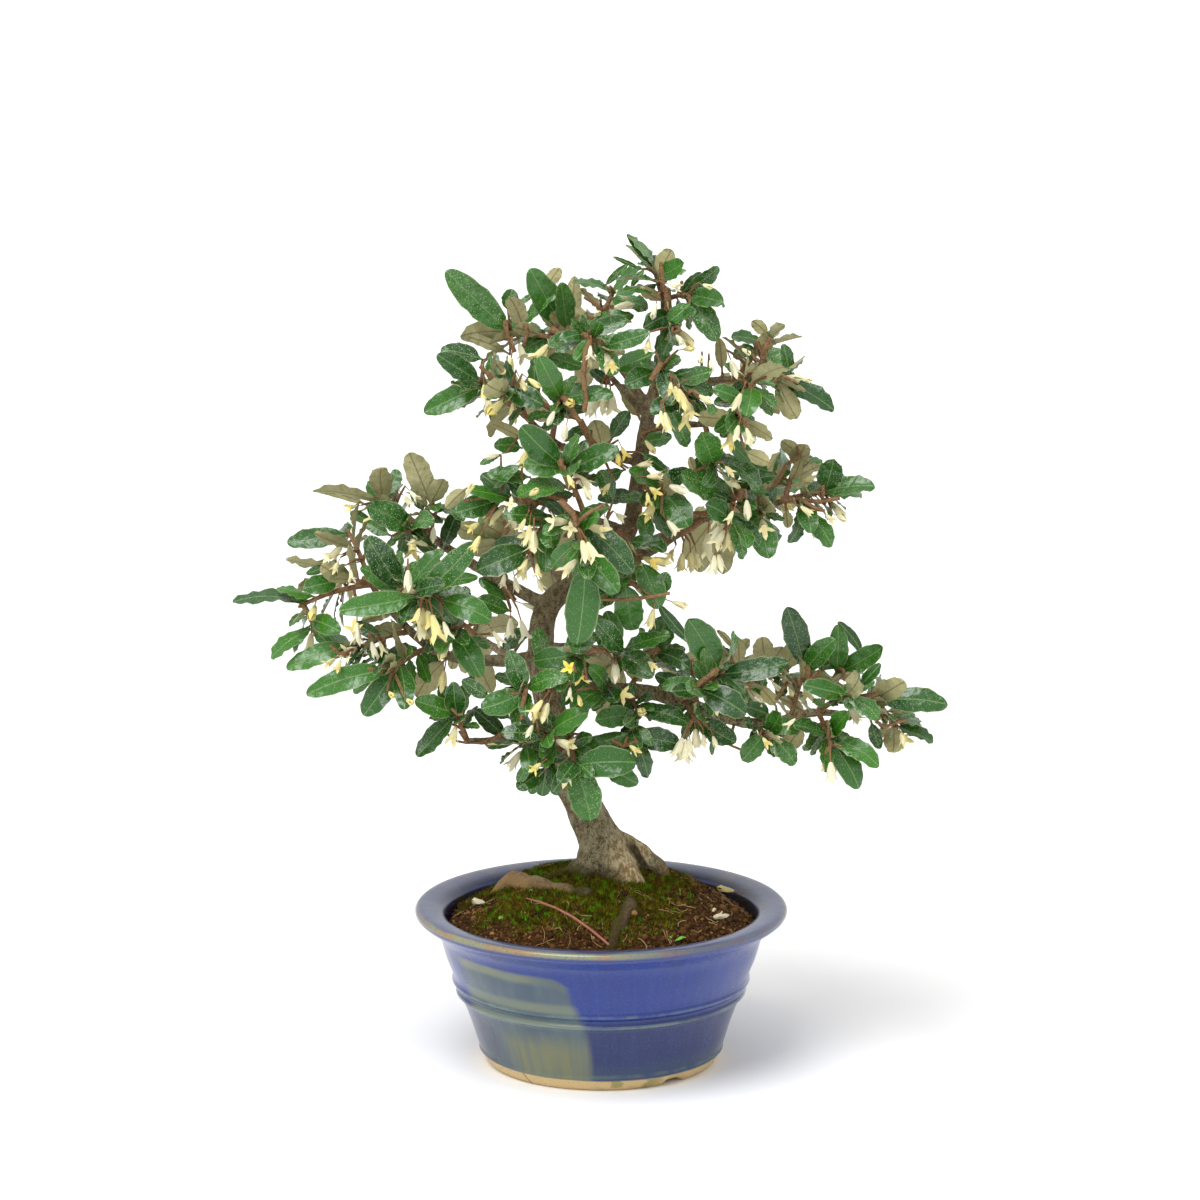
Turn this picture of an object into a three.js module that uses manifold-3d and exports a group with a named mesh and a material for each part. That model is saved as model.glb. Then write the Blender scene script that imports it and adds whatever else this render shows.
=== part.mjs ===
// Thorny olive (Elaeagnus) bonsai in its round glazed pot, with the soil it stands in.
// Millimetres, +Z up, the front towards -Y. The twisted tree is one piece of wood, each leafy
// shoot on it is a piece of its own, and pot, soil and drain mesh are three more.
import * as THREE from 'three';
import { mergeVertices } from 'three/addons/utils/BufferGeometryUtils.js';
import Module from 'manifold-3d';

const wasm = await Module();
wasm.setup();

// Pot
const POT_SIDES = 28;
const RIM_RADIUS = 92.3;
const RIM_EDGE_HEIGHT = 78;
const LIP_RADIUS = 79.5;
const WALL_THICKNESS = 7;
const FLOOR_TOP = 12;
const FOOT_RECESS = 4;
const FOOT_INNER_RADIUS = 48;
const DRAIN_RADIUS = 9;
// Outside of the pot from the foot up: [radius, height]
const POT_OUTSIDE = [
  [56, 0], [61.1, 9], [64.9, 21.6], [69.6, 34], [72.2, 36.4], [71.4, 39], [73.8, 42],
  [73.4, 45], [79.3, 62], [83, 68], [91.8, 75],
];

// Soil
const SOIL_SIDES = 20;
const SOIL_EDGE_HEIGHT = 69;
const SOIL_RISE = 29;
const SOIL_RINGS = 3;
const MESH_RADIUS = 15;
const MESH_THICKNESS = 0.9;

// Free space kept between two pieces that touch on the real thing
const SEAT_GAP = 0.35;

// Leaves and flowers
const LEAF_THICKNESS = 1.4;
const LEAF_ROOT_DEPTH = 0.5;
const PETIOLE_SHARE = 0.12;
const LARGE_LEAF = 30;
const LEAF_FORMS = [
  { droop: 0.35, fold: 0.22, wave: 0.05, bow: 0.10 },
  { droop: 0.70, fold: 0.12, wave: -0.06, bow: -0.14 },
  { droop: 0.15, fold: 0.32, wave: 0.04, bow: 0.04 },
  { droop: 0.95, fold: 0.10, wave: 0.05, bow: 0.12 },
  { droop: -0.25, fold: 0.24, wave: -0.04, bow: -0.08 },
  { droop: 0.50, fold: -0.12, wave: 0.07, bow: 0.16 },
];
const FLOWER_LENGTH = 17.5;
// Where its throat and lobe tips are: [share of the length, radius]
const FLOWER_THROAT = [0.74, 2.1];
const FLOWER_LOBES = [1, 4.4];

// Growth rule
const SPAN_SAMPLES = 6;
const GOLDEN_ANGLE = 137.5 * Math.PI / 180;
const TWIG_RADIUS = 1.7;
const TWIG_END_RADIUS = 1.2;
const BUD_LENGTH = 3;
const LEAF_CLEARANCE = 4;
const TWIG_CLEARANCE = 3.4;
const FLOWER_CLEARANCE = 2.4;
const LEAF_TRIES = 14;
const SEED = 20711;

// Places in the tree are read off a board that stands through the middle of the pot's foot,
// square to the line of sight: u to the right, v up, and f is the distance in front of the
// pot's axis, along which the point is carried towards the viewer's eye.
const EYE = new THREE.Vector3(-0.5, -2200, 680);
const BOARD_MIDDLE_HEIGHT = 228.35;
const SIGHT_PITCH = Math.atan2(EYE.z, -EYE.y)
  - Math.asin(BOARD_MIDDLE_HEIGHT / Math.hypot(EYE.y, EYE.z));
const UP = new THREE.Vector3(0, 0, 1);
const TO_VIEWER = new THREE.Vector3(0, -Math.cos(SIGHT_PITCH), Math.sin(SIGHT_PITCH));

// Wood: each branch is a list of [u, v, f, radius]
const TRUNK = [
  [6, 70, 0, 17], [7, 84, 0, 16], [4, 103, 0, 14], [0, 113, 0, 11.2], [-6, 124, 1, 9.2],
  [-13, 136, 2, 8.5], [-19, 150, 2, 8], [-27, 182, 0, 7.4], [-30, 206, -4, 6.6],
  [-27, 224, -8, 6], [-15, 236, -11, 5.4], [2, 245, -10, 5], [14, 264, -6, 4.4],
  [19, 292, -2, 3.9], [23, 318, 2, 3.4], [29, 343, 2, 2.8], [32, 366, 0, 2], [31, 378, 0, 1.5],
];
const BRANCHES = [
  // West side
  [[-30, 200, -2, 3.6], [-50, 198, 4, 3.1], [-75, 200, 12, 2.6], [-90, 208, 16, 2.2],
    [-105, 223, 18, 1.8], [-115, 236, 18, 1.4]],
  [[-28, 226, -8, 3.4], [-50, 238, -12, 2.9], [-75, 253, -18, 2.3], [-92, 266, -20, 1.5]],
  [[-21, 160, 2, 3], [-40, 161, 18, 2.4], [-55, 158, 28, 2], [-67, 158, 33, 1.5]],
  // East side
  [[-27, 183, 0, 5], [0, 183, 8, 4.4], [25, 182, 12, 3.9], [38, 178, 14, 3.6],
    [53, 173, 15, 3.2], [67, 168, 15, 2.9], [85, 167, 14, 2.5], [105, 172, 12, 2.1],
    [126, 171, 10, 1.5]],
  [[2, 245, -10, 4], [25, 254, -4, 3.4], [45, 267, 2, 2.9], [57, 272, 6, 2.6],
    [75, 274, 8, 2.1], [92, 278, 9, 1.5]],
  // Crown
  [[29, 341, 2, 2.6], [47, 338, 4, 2.1], [68, 339, 6, 1.5]],
  [[22, 313, 2, 2.5], [38, 316, 10, 2], [52, 316, 20, 1.5]],
  [[24, 323, 2, 2.7], [9, 346, -4, 2.1], [-5, 355, -8, 1.5]],
  [[19, 298, -1, 2.8], [0, 301, 4, 2.3], [-18, 304, 8, 2], [-38, 320, 10, 1.4]],
  // Front
  [[13, 262, -6, 2.8], [4, 266, 14, 2.2], [-8, 270, 34, 1.5]],
  [[-27, 180, 0, 3], [-20, 170, 16, 2.3], [-16, 160, 29, 1.5]],
  [[-28, 190, 0, 3], [-32, 187, 14, 2.2], [-36, 185, 27, 1.5]],
  // Back
  [[-29, 192, -1, 3.4], [-45, 200, -30, 2.6], [-62, 210, -62, 1.6]],
  [[-30, 204, -3, 3.6], [-5, 203, -25, 3], [20, 201, -48, 2.4], [48, 195, -68, 1.9],
    [70, 190, -76, 1.5]],
  [[-17, 235, -11, 3], [-24, 244, -35, 2.3], [-32, 250, -62, 1.5]],
  [[2, 245, -10, 3.2], [22, 256, -32, 2.6], [44, 266, -52, 2], [60, 271, -68, 1.5]],
  [[24, 320, 2, 2.4], [14, 330, -18, 2], [4, 341, -38, 1.4]],
  [[29, 343, 2, 2.2], [45, 338, -16, 1.9], [60, 336, -33, 1.4]],
];
const ROOTS = [
  [[20, 100, -2, 5.5], [32, 96, -4, 4.6], [40, 84, -5, 3.2], [42, 72, -5, 2.4]],
  [[3, 102, 8, 7.5], [16, 92, 13, 6], [25, 82, 17, 4.2], [30, 72, 20, 3]],
  [[-5, 81, 33, 3], [-20, 83, 24, 3.2], [-35, 87, 10, 4.6], [-46, 87, -2, 4.6],
    [-54, 80, -6, 3]],
  [[-2, 98, 4, 6], [-22, 88, 4, 4.6], [-38, 84, 6, 4]],
  [[17.5, 75.5, 40, 3.6], [10, 64, 54, 4.2], [5.7, 53, 66, 3]],
  [[8, 90, 12, 7], [16, 78, 30, 4.6], [17.5, 74, 42, 3.4]],
];

// Leafy shoots. Each stem has its tip, then its best-seen leaves as [u, v, out, width, facing]
// and its best-seen flowers as [u, v, out]. out is how far in front of the stem's tip the
// leaf's own tip lies. A facing of 1 turns the upper face to the front, -1 the silvery
// underside, and 0 lays the blade flat. more is how many leaves the growth rule adds.
const SHOOTS = [
  { name: 'crown_shoot_1', more: 2, long: 27, stems: [
    { tip: [27, 392, 0], leaves: [[13.5, 410, 6, 11, 0.3], [36, 405, 4, 12, -0.9],
      [41.5, 397, 12, 11, 0.8]] }] },
  { name: 'crown_shoot_2', more: 2, long: 26, stems: [
    { tip: [6, 382, -20], leaves: [[-14, 387, 4, 10, 0.3], [20, 395, 6, 10, 0.4],
      [23, 374, 18, 12, 0.5]] }] },
  { name: 'crown_shoot_3', more: 2, long: 30, stems: [
    { tip: [44, 381, 8], leaves: [[61, 377, 14, 12, 0.8], [58, 358, 10, 13, 0.8]] },
    { tip: [36, 364, 16], leaves: [[48, 373, 8, 10, 0.5], [44, 377, -2, 9, 0.7]] }] },
  { name: 'crown_shoot_4', more: 2, long: 27, stems: [
    { tip: [-9, 361, 28], leaves: [[15, 369, 6, 10, 0.8]], flowers: [[-5.5, 347, 4]] },
    { tip: [2, 355, 38], leaves: [[24, 362, 6, 10, 0.8], [7.5, 339, 16, 12, 0.8]],
      flowers: [[5, 343, 14]] }] },
  { name: 'crown_shoot_5', more: 2, long: 30, stems: [
    { tip: [-18, 363, -14], leaves: [[-35.5, 394, 8, 16, 0.95], [-20, 387, 14, 12, 0.5],
      [-13, 392, -6, 10, -0.8]] }] },
  { name: 'crown_shoot_6', more: 2, long: 32, stems: [
    { tip: [-45, 361, -12], leaves: [[-77.5, 393, 6, 16, 0.9], [-71, 360, 8, 12, -0.7],
      [-46, 380, 10, 10, -0.7]], flowers: [[-38, 348, 10]] }] },
  { name: 'crown_shoot_7', more: 2, long: 30, stems: [
    { tip: [-60, 337, 16], leaves: [[-82, 351, 6, 12, 0.8], [-88.5, 322, 4, 13, 0.8],
      [-81, 337, 14, 11, 0.5]], flowers: [[-56, 325, 8]] }] },
  { name: 'crown_shoot_8', more: 2, long: 30, stems: [
    { tip: [-20, 329, 36], leaves: [[-31, 350, 14, 13, 0.8], [6, 331, 10, 11, 0.6]],
      flowers: [[-24, 347, 4], [-1, 322, 12]] },
    { tip: [-50, 333, 36], leaves: [[-29, 326, 8, 12, 0.8]] }] },
  { name: 'crown_shoot_9', more: 4, long: 28, stems: [
    { tip: [82, 356, -10], leaves: [[64.5, 360, 6, 11, 0.5], [92, 366, -4, 11, -0.5],
      [96, 343, 16, 12, 0.6], [63, 350, 12, 11, 0.8]] },
    { tip: [90, 338, 12], leaves: [[116.5, 323, 6, 13, 0.5], [98, 319, 8, 12, -0.8]] }] },
  { name: 'crown_shoot_10', more: 2, long: 28, stems: [
    { tip: [75, 334, 30], leaves: [[72, 318, 12, 14, 0.8], [60, 328, 8, 11, 0.4]] },
    { tip: [67, 318, 42], leaves: [[49, 320, 4, 11, -0.7], [86, 309, 4, 11, -0.5]],
      flowers: [[64, 306, 6], [76, 303, 2]] }] },
  { name: 'crown_shoot_11', more: 2, long: 28, stems: [
    { tip: [30, 344, 36], leaves: [[36, 324, 12, 13, 0.85], [12, 336, 4, 12, 0.8]] },
    { tip: [44, 329, 44], leaves: [[24, 322, 8, 12, 0.6]], flowers: [[42, 316, 4]] }] },
  { name: 'east_high_shoot_1', more: 2, long: 28, stems: [
    { tip: [57, 293, 32], leaves: [[49.5, 314, 10, 16, 0.9]], flowers: [[68, 285, 6]] }] },
  { name: 'east_high_shoot_2', more: 2, long: 28, stems: [
    { tip: [86, 285, -10], leaves: [[64, 308, 8, 13, 0.6]] },
    { tip: [80, 271, 28], leaves: [[84, 249, 8, 14, 0.95]] }] },
  { name: 'east_high_shoot_3', more: 2, long: 26, stems: [
    { tip: [97, 295, -16], leaves: [[102, 306, 12, 11, -0.5], [113, 299, 10, 11, 0.45],
      [87, 300, 14, 12, 0.8]] }] },
  { name: 'east_high_shoot_4', more: 2, long: 28, stems: [
    { tip: [112, 282, 12], leaves: [[116.5, 299, 12, 14, 0.8], [137, 285, 6, 13, 0.5]],
      flowers: [[122, 269, 2]] },
    { tip: [101, 273, 18], leaves: [[115.5, 255, 6, 12, 0.5], [105, 262, 14, 11, 0.5]] }] },
  { name: 'east_high_shoot_5', more: 2, long: 30, stems: [
    { tip: [67, 282, 26], leaves: [[40, 291, 8, 17, 0.7]] },
    { tip: [64, 267, 38], leaves: [[52, 276, 12, 13, 0.7]],
      flowers: [[58, 257, 6], [63, 254, 0], [55, 249, -6]] }] },
  { name: 'east_high_shoot_6', more: 2, long: 28, stems: [
    { tip: [31, 282, 24], leaves: [[43.5, 265, 16, 15, 0.85], [14, 293, 12, 12, 0.6]],
      flowers: [[19, 297, 0], [24, 272, 4]] }] },
  { name: 'centre_shoot_1', more: 2, long: 30, stems: [
    { tip: [-19, 296, 50], leaves: [[-40, 315, 8, 16, 0.85], [-42, 297, 12, 15, 0.8],
      [9, 304, 0, 13, 0.7]], flowers: [[-6, 285, 4]] }] },
  { name: 'centre_shoot_2', more: 2, long: 28, stems: [
    { tip: [-28, 266, 46], leaves: [[-25, 255, 16, 12, 0.7], [-28, 241, 8, 13, 0.8]],
      flowers: [[-39, 259, 8]] },
    { tip: [-36, 254, 44], leaves: [[-62, 243, 8, 16, 0.8]], flowers: [[-40, 240, 2]] }] },
  { name: 'centre_shoot_3', more: 2, long: 28, stems: [
    { tip: [-50, 279, 34], leaves: [[-73, 272, 10, 13, 0.8], [-69, 284, 4, 12, 0.5]],
      flowers: [[-44, 268, 8], [-60, 264, 4]] }] },
  { name: 'centre_shoot_4', more: 2, long: 30, stems: [
    { tip: [-12, 266, 64], leaves: [[-1, 270, 14, 12, 0.8], [-22, 248, 8, 14, 0.8],
      [16, 242, 4, 15, 0.85]], flowers: [[4.5, 262, 8], [-7, 252, 12]] },
    { tip: [-8, 248, 70], leaves: [[-12, 206, 2, 18, 0.95]] }] },
  { name: 'centre_shoot_5', more: 2, long: 30, stems: [
    { tip: [19, 248, 30], leaves: [[29, 224, 8, 14, 0.7]],
      flowers: [[40, 246, 2], [34, 236, 8]] },
    { tip: [12, 238, 34], leaves: [[17, 210, 6, 18, 0.8]], flowers: [[27, 224, -4]] }] },
  { name: 'west_shoot_1', more: 4, long: 32, stems: [
    { tip: [-99, 234, 34], leaves: [[-117, 260, 8, 16, 0.8]] },
    { tip: [-90, 230, 48], leaves: [[-131, 223, 6, 13, 0.8], [-62, 258, 2, 14, 0.9]],
      flowers: [[-88, 215, 4]] },
    { tip: [-80, 228, 46], leaves: [[-55, 218, 8, 14, 0.8]] }] },
  { name: 'west_shoot_2', more: 2, long: 30, stems: [
    { tip: [-126, 262, -6], leaves: [[-157, 257, 4, 12, 0.7]], flowers: [[-136, 248, 4]] },
    { tip: [-132, 238, 16], leaves: [[-149, 234, 12, 11, 0.8]] }] },
  { name: 'west_shoot_3', more: 2, long: 28, stems: [
    { tip: [-149, 226, 16], leaves: [[-184, 227, 2, 13, 0.3], [-138, 236, 12, 11, 0.6]] },
    { tip: [-143, 214, 20], leaves: [[-165, 199, 6, 12, 0.35]] }] },
  { name: 'west_shoot_4', more: 2, long: 30, stems: [
    { tip: [-122, 204, 24], leaves: [[-157, 194, 4, 12, 0.7]],
      flowers: [[-124, 216, 8], [-133, 195, 8]] },
    { tip: [-110, 196, 20], leaves: [[-87, 207, 8, 13, 0.7]] }] },
  { name: 'west_shoot_5', more: 2, long: 30, stems: [
    { tip: [-104, 193, 46], leaves: [[-147, 181, 4, 13, 0.8], [-119, 170, 8, 14, 0.8],
      [-98, 172, 14, 13, 0.8]] }] },
  { name: 'west_shoot_6', more: 2, long: 28, stems: [
    { tip: [-109, 277, -30], leaves: [[-110, 294, 12, 13, -0.8], [-101, 296, 2, 11, 0.3],
      [-144, 283, 4, 12, -0.4]] }] },
  { name: 'west_shoot_7', more: 2, long: 28, stems: [
    { tip: [-85, 276, -14], leaves: [[-96, 302, 6, 14, -0.9], [-78, 290, 8, 11, -0.6]] },
    { tip: [-95, 263, 0], leaves: [[-117, 275, 10, 15, 0.8]], flowers: [[-94, 250, 10]] }] },
  { name: 'west_shoot_8', more: 2, long: 30, stems: [
    { tip: [-74, 214, 38], leaves: [[-60, 190, 10, 14, 0.8]], flowers: [[-80, 200, 6]] }] },
  { name: 'low_shoot_1', more: 2, long: 26, stems: [
    { tip: [-73, 172, 40], leaves: [[-93, 178, 10, 12, 0.8], [-92, 150, 4, 12, 0.5],
      [-74, 188, 14, 12, 0.7]] }] },
  { name: 'low_shoot_2', more: 2, long: 27, stems: [
    { tip: [-38, 182, 46], leaves: [[-46, 203, 6, 12, 0.7], [-60, 174, 4, 14, 0.85],
      [-16, 190, 8, 11, 0.7], [-58, 193, 8, 11, 0.6]], flowers: [[-31, 168, 8]] }] },
  { name: 'low_shoot_3', more: 2, long: 26, stems: [
    { tip: [-28, 160, 46], leaves: [[-50, 162, 6, 11, 0.6], [-7, 172, 8, 12, 0.7]],
      flowers: [[-15, 155, 6]] },
    { tip: [-39, 156, 42], leaves: [[-17, 148, 8, 11, 0.8], [-36, 140, 6, 10, 0.6]] }] },
  { name: 'low_shoot_4', more: 2, long: 28, stems: [
    { tip: [-13, 145, 48], leaves: [[17.5, 147, 6, 17, 0.9], [-5, 117, 10, 18, 0.95]] },
    { tip: [-28, 144, 34], leaves: [[-42, 134, 8, 11, 0.6], [-30, 128, 10, 12, 0.7]],
      flowers: [[-24, 134, -4]] }] },
  { name: 'low_shoot_5', more: 2, long: 30, stems: [
    { tip: [-9, 202, 42], leaves: [[-38, 197, 6, 14, 0.8], [-14, 184, 12, 13, 0.7]],
      flowers: [[-17, 194, 8]] },
    { tip: [12, 202, 34], leaves: [[-4, 219, 6, 14, 0.7], [26, 190, 12, 14, 0.8]] }] },
  { name: 'low_shoot_6', more: 2, long: 28, stems: [
    { tip: [28, 202, 22], leaves: [[44, 194, 14, 12, 0.6], [34, 222, 0, 15, 0.8]] },
    { tip: [1, 184, 30], leaves: [[-15, 173, 10, 12, 0.8]] }] },
  { name: 'low_shoot_7', more: 2, long: 28, stems: [
    { tip: [19, 171, 30], leaves: [[-3, 168, 8, 12, 0.8], [45, 166, 4, 12, 0.6]] },
    { tip: [14, 160, 34], leaves: [[41, 156, 6, 14, 0.8], [24, 138, 6, 11, 0.5],
      [-13, 153, 4, 11, 0.7]], flowers: [[12, 147, 8], [30, 150, -4]] }] },
  { name: 'east_shoot_1', more: 2, long: 30, stems: [
    { tip: [60, 192, 36], leaves: [[43.5, 219, 8, 17, 0.9], [94, 197, 4, 13, 0.7]] },
    { tip: [49, 183, 44], leaves: [[72.5, 171, 8, 15, 0.8]] }] },
  { name: 'east_shoot_2', more: 2, long: 26, stems: [
    { tip: [47, 169, 34], leaves: [[67.5, 157, 8, 13, 0.7]], flowers: [[52, 157, 4]] },
    { tip: [77, 188, -14], leaves: [[91, 205, 4, 12, -0.8]] }] },
  { name: 'east_shoot_3', more: 2, long: 28, stems: [
    { tip: [102, 194, 2], leaves: [[93, 225, 4, 14, 0.8], [117, 209, 10, 12, 0.8],
      [118, 189, 10, 12, -0.6]] }] },
  { name: 'east_shoot_4', more: 2, long: 28, stems: [
    { tip: [118, 192, -8], leaves: [[141, 205, 8, 12, 0.8], [118.5, 216, 4, 11, 0.4]] },
    { tip: [124, 181, 26], leaves: [[101, 186, 4, 11, 0.7], [139, 169, 8, 12, 0.5]] }] },
  { name: 'east_shoot_5', more: 2, long: 28, stems: [
    { tip: [137, 178, 12], leaves: [[173.5, 176, 4, 14, 0.8]] },
    { tip: [147, 165, 6], leaves: [[166, 157, 6, 12, 0.25], [146, 152, 10, 12, -0.7]],
      flowers: [[152, 158, -8]] }] },
  { name: 'east_shoot_6', more: 2, long: 27, stems: [
    { tip: [115, 157, 26], leaves: [[129, 134, 6, 13, 0.8], [139, 145, 10, 12, 0.6],
      [124, 172, 14, 11, 0.7], [96, 166, 4, 11, 0.5]], flowers: [[115, 143, 4]] }] },
  { name: 'east_shoot_7', more: 2, long: 27, stems: [
    { tip: [84, 160, 32], leaves: [[97, 146, 8, 12, 0.5], [90, 172, 14, 12, 0.7],
      [70, 147, 6, 12, 0.7]] }] },
  { name: 'back_shoot_1', more: 6, long: 31, stems: [{ tip: [-90, 230, -62] }] },
  { name: 'back_shoot_2', more: 6, long: 31, stems: [{ tip: [-66, 206, -98] }] },
  { name: 'back_shoot_3', more: 6, long: 31, stems: [{ tip: [-50, 258, -66] }] },
  { name: 'back_shoot_4', more: 6, long: 30, stems: [{ tip: [-22, 250, -98] }] },
  { name: 'back_shoot_5', more: 6, long: 31, stems: [{ tip: [84, 280, -52] }] },
  { name: 'back_shoot_6', more: 6, long: 30, stems: [{ tip: [56, 264, -96] }] },
  { name: 'back_shoot_7', more: 6, long: 31, stems: [{ tip: [66, 198, -98] }] },
  { name: 'back_shoot_8', more: 6, long: 30, stems: [{ tip: [98, 188, -48] }] },
  { name: 'back_shoot_9', more: 6, long: 31, stems: [{ tip: [8, 194, -50] }] },
  { name: 'back_shoot_10', more: 6, long: 29, stems: [{ tip: [-8, 360, -62] }] },
  { name: 'back_shoot_11', more: 6, long: 29, stems: [{ tip: [-46, 340, -36] }] },
  { name: 'back_shoot_12', more: 6, long: 28, stems: [{ tip: [80, 338, -56] }] },
];

// Materials
const GLAZE = new THREE.MeshStandardMaterial({ color: 0x3c4b96, roughness: 0.22 });
const EARTH = new THREE.MeshStandardMaterial({ color: 0x50321a, roughness: 1 });
const BARK = new THREE.MeshStandardMaterial({ color: 0x6e6450, roughness: 0.9 });
const LEAF_GREEN = new THREE.MeshStandardMaterial({ color: 0x235f32, roughness: 0.45 });
const MESH_PLASTIC = new THREE.MeshStandardMaterial({ color: 0x202422, roughness: 0.6 });

// Repeatable draws between two values
let drawState = SEED;
function draw(low, high) {
  drawState = (Math.imul(drawState, 1664525) + 1013904223) >>> 0;
  return low + (high - low) * drawState / 4294967296;
}

function place([u, v, f]) {
  const onBoard = new THREE.Vector3(u, v * Math.sin(SIGHT_PITCH), v * Math.cos(SIGHT_PITCH));
  const share = (-EYE.y - f) / (onBoard.y - EYE.y);
  return EYE.clone().lerp(onBoard, share);
}

// A closed solid from a BufferGeometry, and back
function solidOf(geometry) {
  const bare = geometry.clone();
  bare.deleteAttribute('normal');
  bare.deleteAttribute('uv');
  const merged = mergeVertices(bare, 1e-4);
  return new wasm.Manifold(new wasm.Mesh({
    numProp: 3,
    vertProperties: Float32Array.from(merged.attributes.position.array),
    triVerts: Uint32Array.from(merged.index.array),
  }));
}

function geometryOf(solid) {
  const mesh = solid.getMesh();
  const geometry = new THREE.BufferGeometry();
  geometry.setAttribute('position', new THREE.BufferAttribute(mesh.vertProperties, 3));
  geometry.setIndex(new THREE.BufferAttribute(mesh.triVerts, 1));
  geometry.computeVertexNormals();
  return geometry;
}

function geometryFrom(points, triangles) {
  const geometry = new THREE.BufferGeometry().setFromPoints(points);
  geometry.setIndex(triangles);
  return geometry;
}

// A skin over equal rings, closed by a fan to one point at each end
function skin(start, rings, end) {
  const sides = rings[0].length;
  const points = [start, ...rings.flat(), end];
  const last = points.length - 1;
  const triangles = [];
  for (let k = 0; k < sides; k += 1) {
    const next = (k + 1) % sides;
    triangles.push(0, 1 + next, 1 + k);
    for (let row = 0; row < rings.length - 1; row += 1) {
      const low = 1 + row * sides;
      const high = low + sides;
      triangles.push(low + k, low + next, high + next, low + k, high + next, high + k);
    }
    triangles.push(last, last - sides + k, last - sides + next);
  }
  return geometryFrom(points, triangles);
}

// A branch as points along its path, each with its radius and two directions across it
function sampleBranch(path, count) {
  const curve = new THREE.CatmullRomCurve3(path.map(place), false, 'catmullrom', 0.5);
  const spans = path.length - 1;
  const samples = [];
  let across = new THREE.Vector3(1, 0.13, 0.07).normalize();
  for (let k = 0; k <= count; k += 1) {
    const t = k / count;
    const along = curve.getTangent(t);
    across = across.clone().addScaledVector(along, -across.dot(along)).normalize();
    const index = Math.min(Math.floor(t * spans), spans - 1);
    const part = t * spans - index;
    samples.push({
      point: curve.getPoint(t),
      radius: path[index][3] * (1 - part) + path[index + 1][3] * part,
      across,
      side: along.clone().cross(across),
      along,
    });
  }
  return samples;
}

function tube(allSamples, step, sides, extra, relief) {
  const samples = allSamples.filter((sample, index) => index % step === 0);
  const rings = samples.map((sample, row) => Array.from({ length: sides }, (_, k) => {
    const turn = 2 * Math.PI * k / sides;
    const radius = sample.radius * (1 + relief * Math.sin(3 * turn + 0.8 * row)) + extra;
    return sample.point.clone()
      .addScaledVector(sample.across, radius * Math.cos(turn))
      .addScaledVector(sample.side, radius * Math.sin(turn));
  }));
  const first = samples[0];
  const last = samples[samples.length - 1];
  const start = first.point.clone().addScaledVector(first.along, -0.4 * first.radius - extra);
  const end = last.point.clone().addScaledVector(last.along, 0.6 * last.radius + extra);
  return solidOf(skin(start, rings, end));
}

const trunkSamples = sampleBranch(TRUNK, SPAN_SAMPLES * (TRUNK.length - 1));
const branchSamples = BRANCHES.map((path) => sampleBranch(path, SPAN_SAMPLES * (path.length - 1)));
const rootSamples = ROOTS.map((path) => sampleBranch(path, SPAN_SAMPLES * (path.length - 1)));

function wood(extra) {
  const solids = [tube(trunkSamples, SPAN_SAMPLES, 11, extra, 0.07)];
  branchSamples.forEach((samples) => solids.push(tube(samples, SPAN_SAMPLES, 5, extra, 0)));
  rootSamples.forEach((samples) => solids.push(tube(samples, SPAN_SAMPLES, 6, extra, 0)));
  return wasm.Manifold.union(solids);
}

function pot() {
  const lip = [];
  for (let k = 0; k <= 2; k += 1) {
    const turn = Math.PI * (k / 2) * 0.75;
    lip.push([RIM_RADIUS - 2.2 + 2.2 * Math.cos(turn), RIM_EDGE_HEIGHT - 1 + 2.2 * Math.sin(turn)]);
  }
  const wallFoot = POT_OUTSIDE[2][0] - WALL_THICKNESS;
  const outline = [
    [DRAIN_RADIUS, FOOT_RECESS], [FOOT_INNER_RADIUS, FOOT_RECESS], [FOOT_INNER_RADIUS + 1, 0],
    ...POT_OUTSIDE, ...lip,
    [LIP_RADIUS, RIM_EDGE_HEIGHT], [LIP_RADIUS - 2.5, RIM_EDGE_HEIGHT - 2],
    [LIP_RADIUS - 2, RIM_EDGE_HEIGHT - 8], [70, 55], [wallFoot + 1, 24], [wallFoot - 5, FLOOR_TOP],
    [DRAIN_RADIUS, FLOOR_TOP], [DRAIN_RADIUS, FOOT_RECESS],
  ];
  return new THREE.LatheGeometry(outline.map(([r, z]) => new THREE.Vector2(r, z)), POT_SIDES)
    .rotateX(Math.PI / 2);
}

// The earth fills the pot up to a low mound round the trunk
function soil() {
  const wallFoot = POT_OUTSIDE[2][0] - WALL_THICKNESS;
  const low = FLOOR_TOP + MESH_THICKNESS + 2 * SEAT_GAP;
  const outline = [
    [0, low], [wallFoot - 5.2, low], [wallFoot + 0.2, 24.3], [69.2, 55], [76.5, SOIL_EDGE_HEIGHT],
  ];
  for (let k = 1; k <= SOIL_RINGS; k += 1) {
    const share = 1 - k / SOIL_RINGS;
    outline.push([76.5 * share, SOIL_EDGE_HEIGHT + SOIL_RISE * (1 - share * share)]);
  }
  const mound = new THREE.LatheGeometry(
    outline.map(([r, z]) => new THREE.Vector2(r, z)), SOIL_SIDES).rotateX(Math.PI / 2);
  return solidOf(mound);
}

function drainMesh() {
  return new THREE.CylinderGeometry(MESH_RADIUS, MESH_RADIUS, MESH_THICKNESS, 12)
    .rotateX(Math.PI / 2);
}

// Leaves lie along local X, from the stalk at 0 to the tip, with the upper face to +Z
function leafHalfWidth(t) {
  const blade = (t - PETIOLE_SHARE) / (1 - PETIOLE_SHARE);
  return blade <= 0 ? 0 : Math.sin(Math.PI * blade ** 0.9) ** 0.72 / 2;
}

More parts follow.
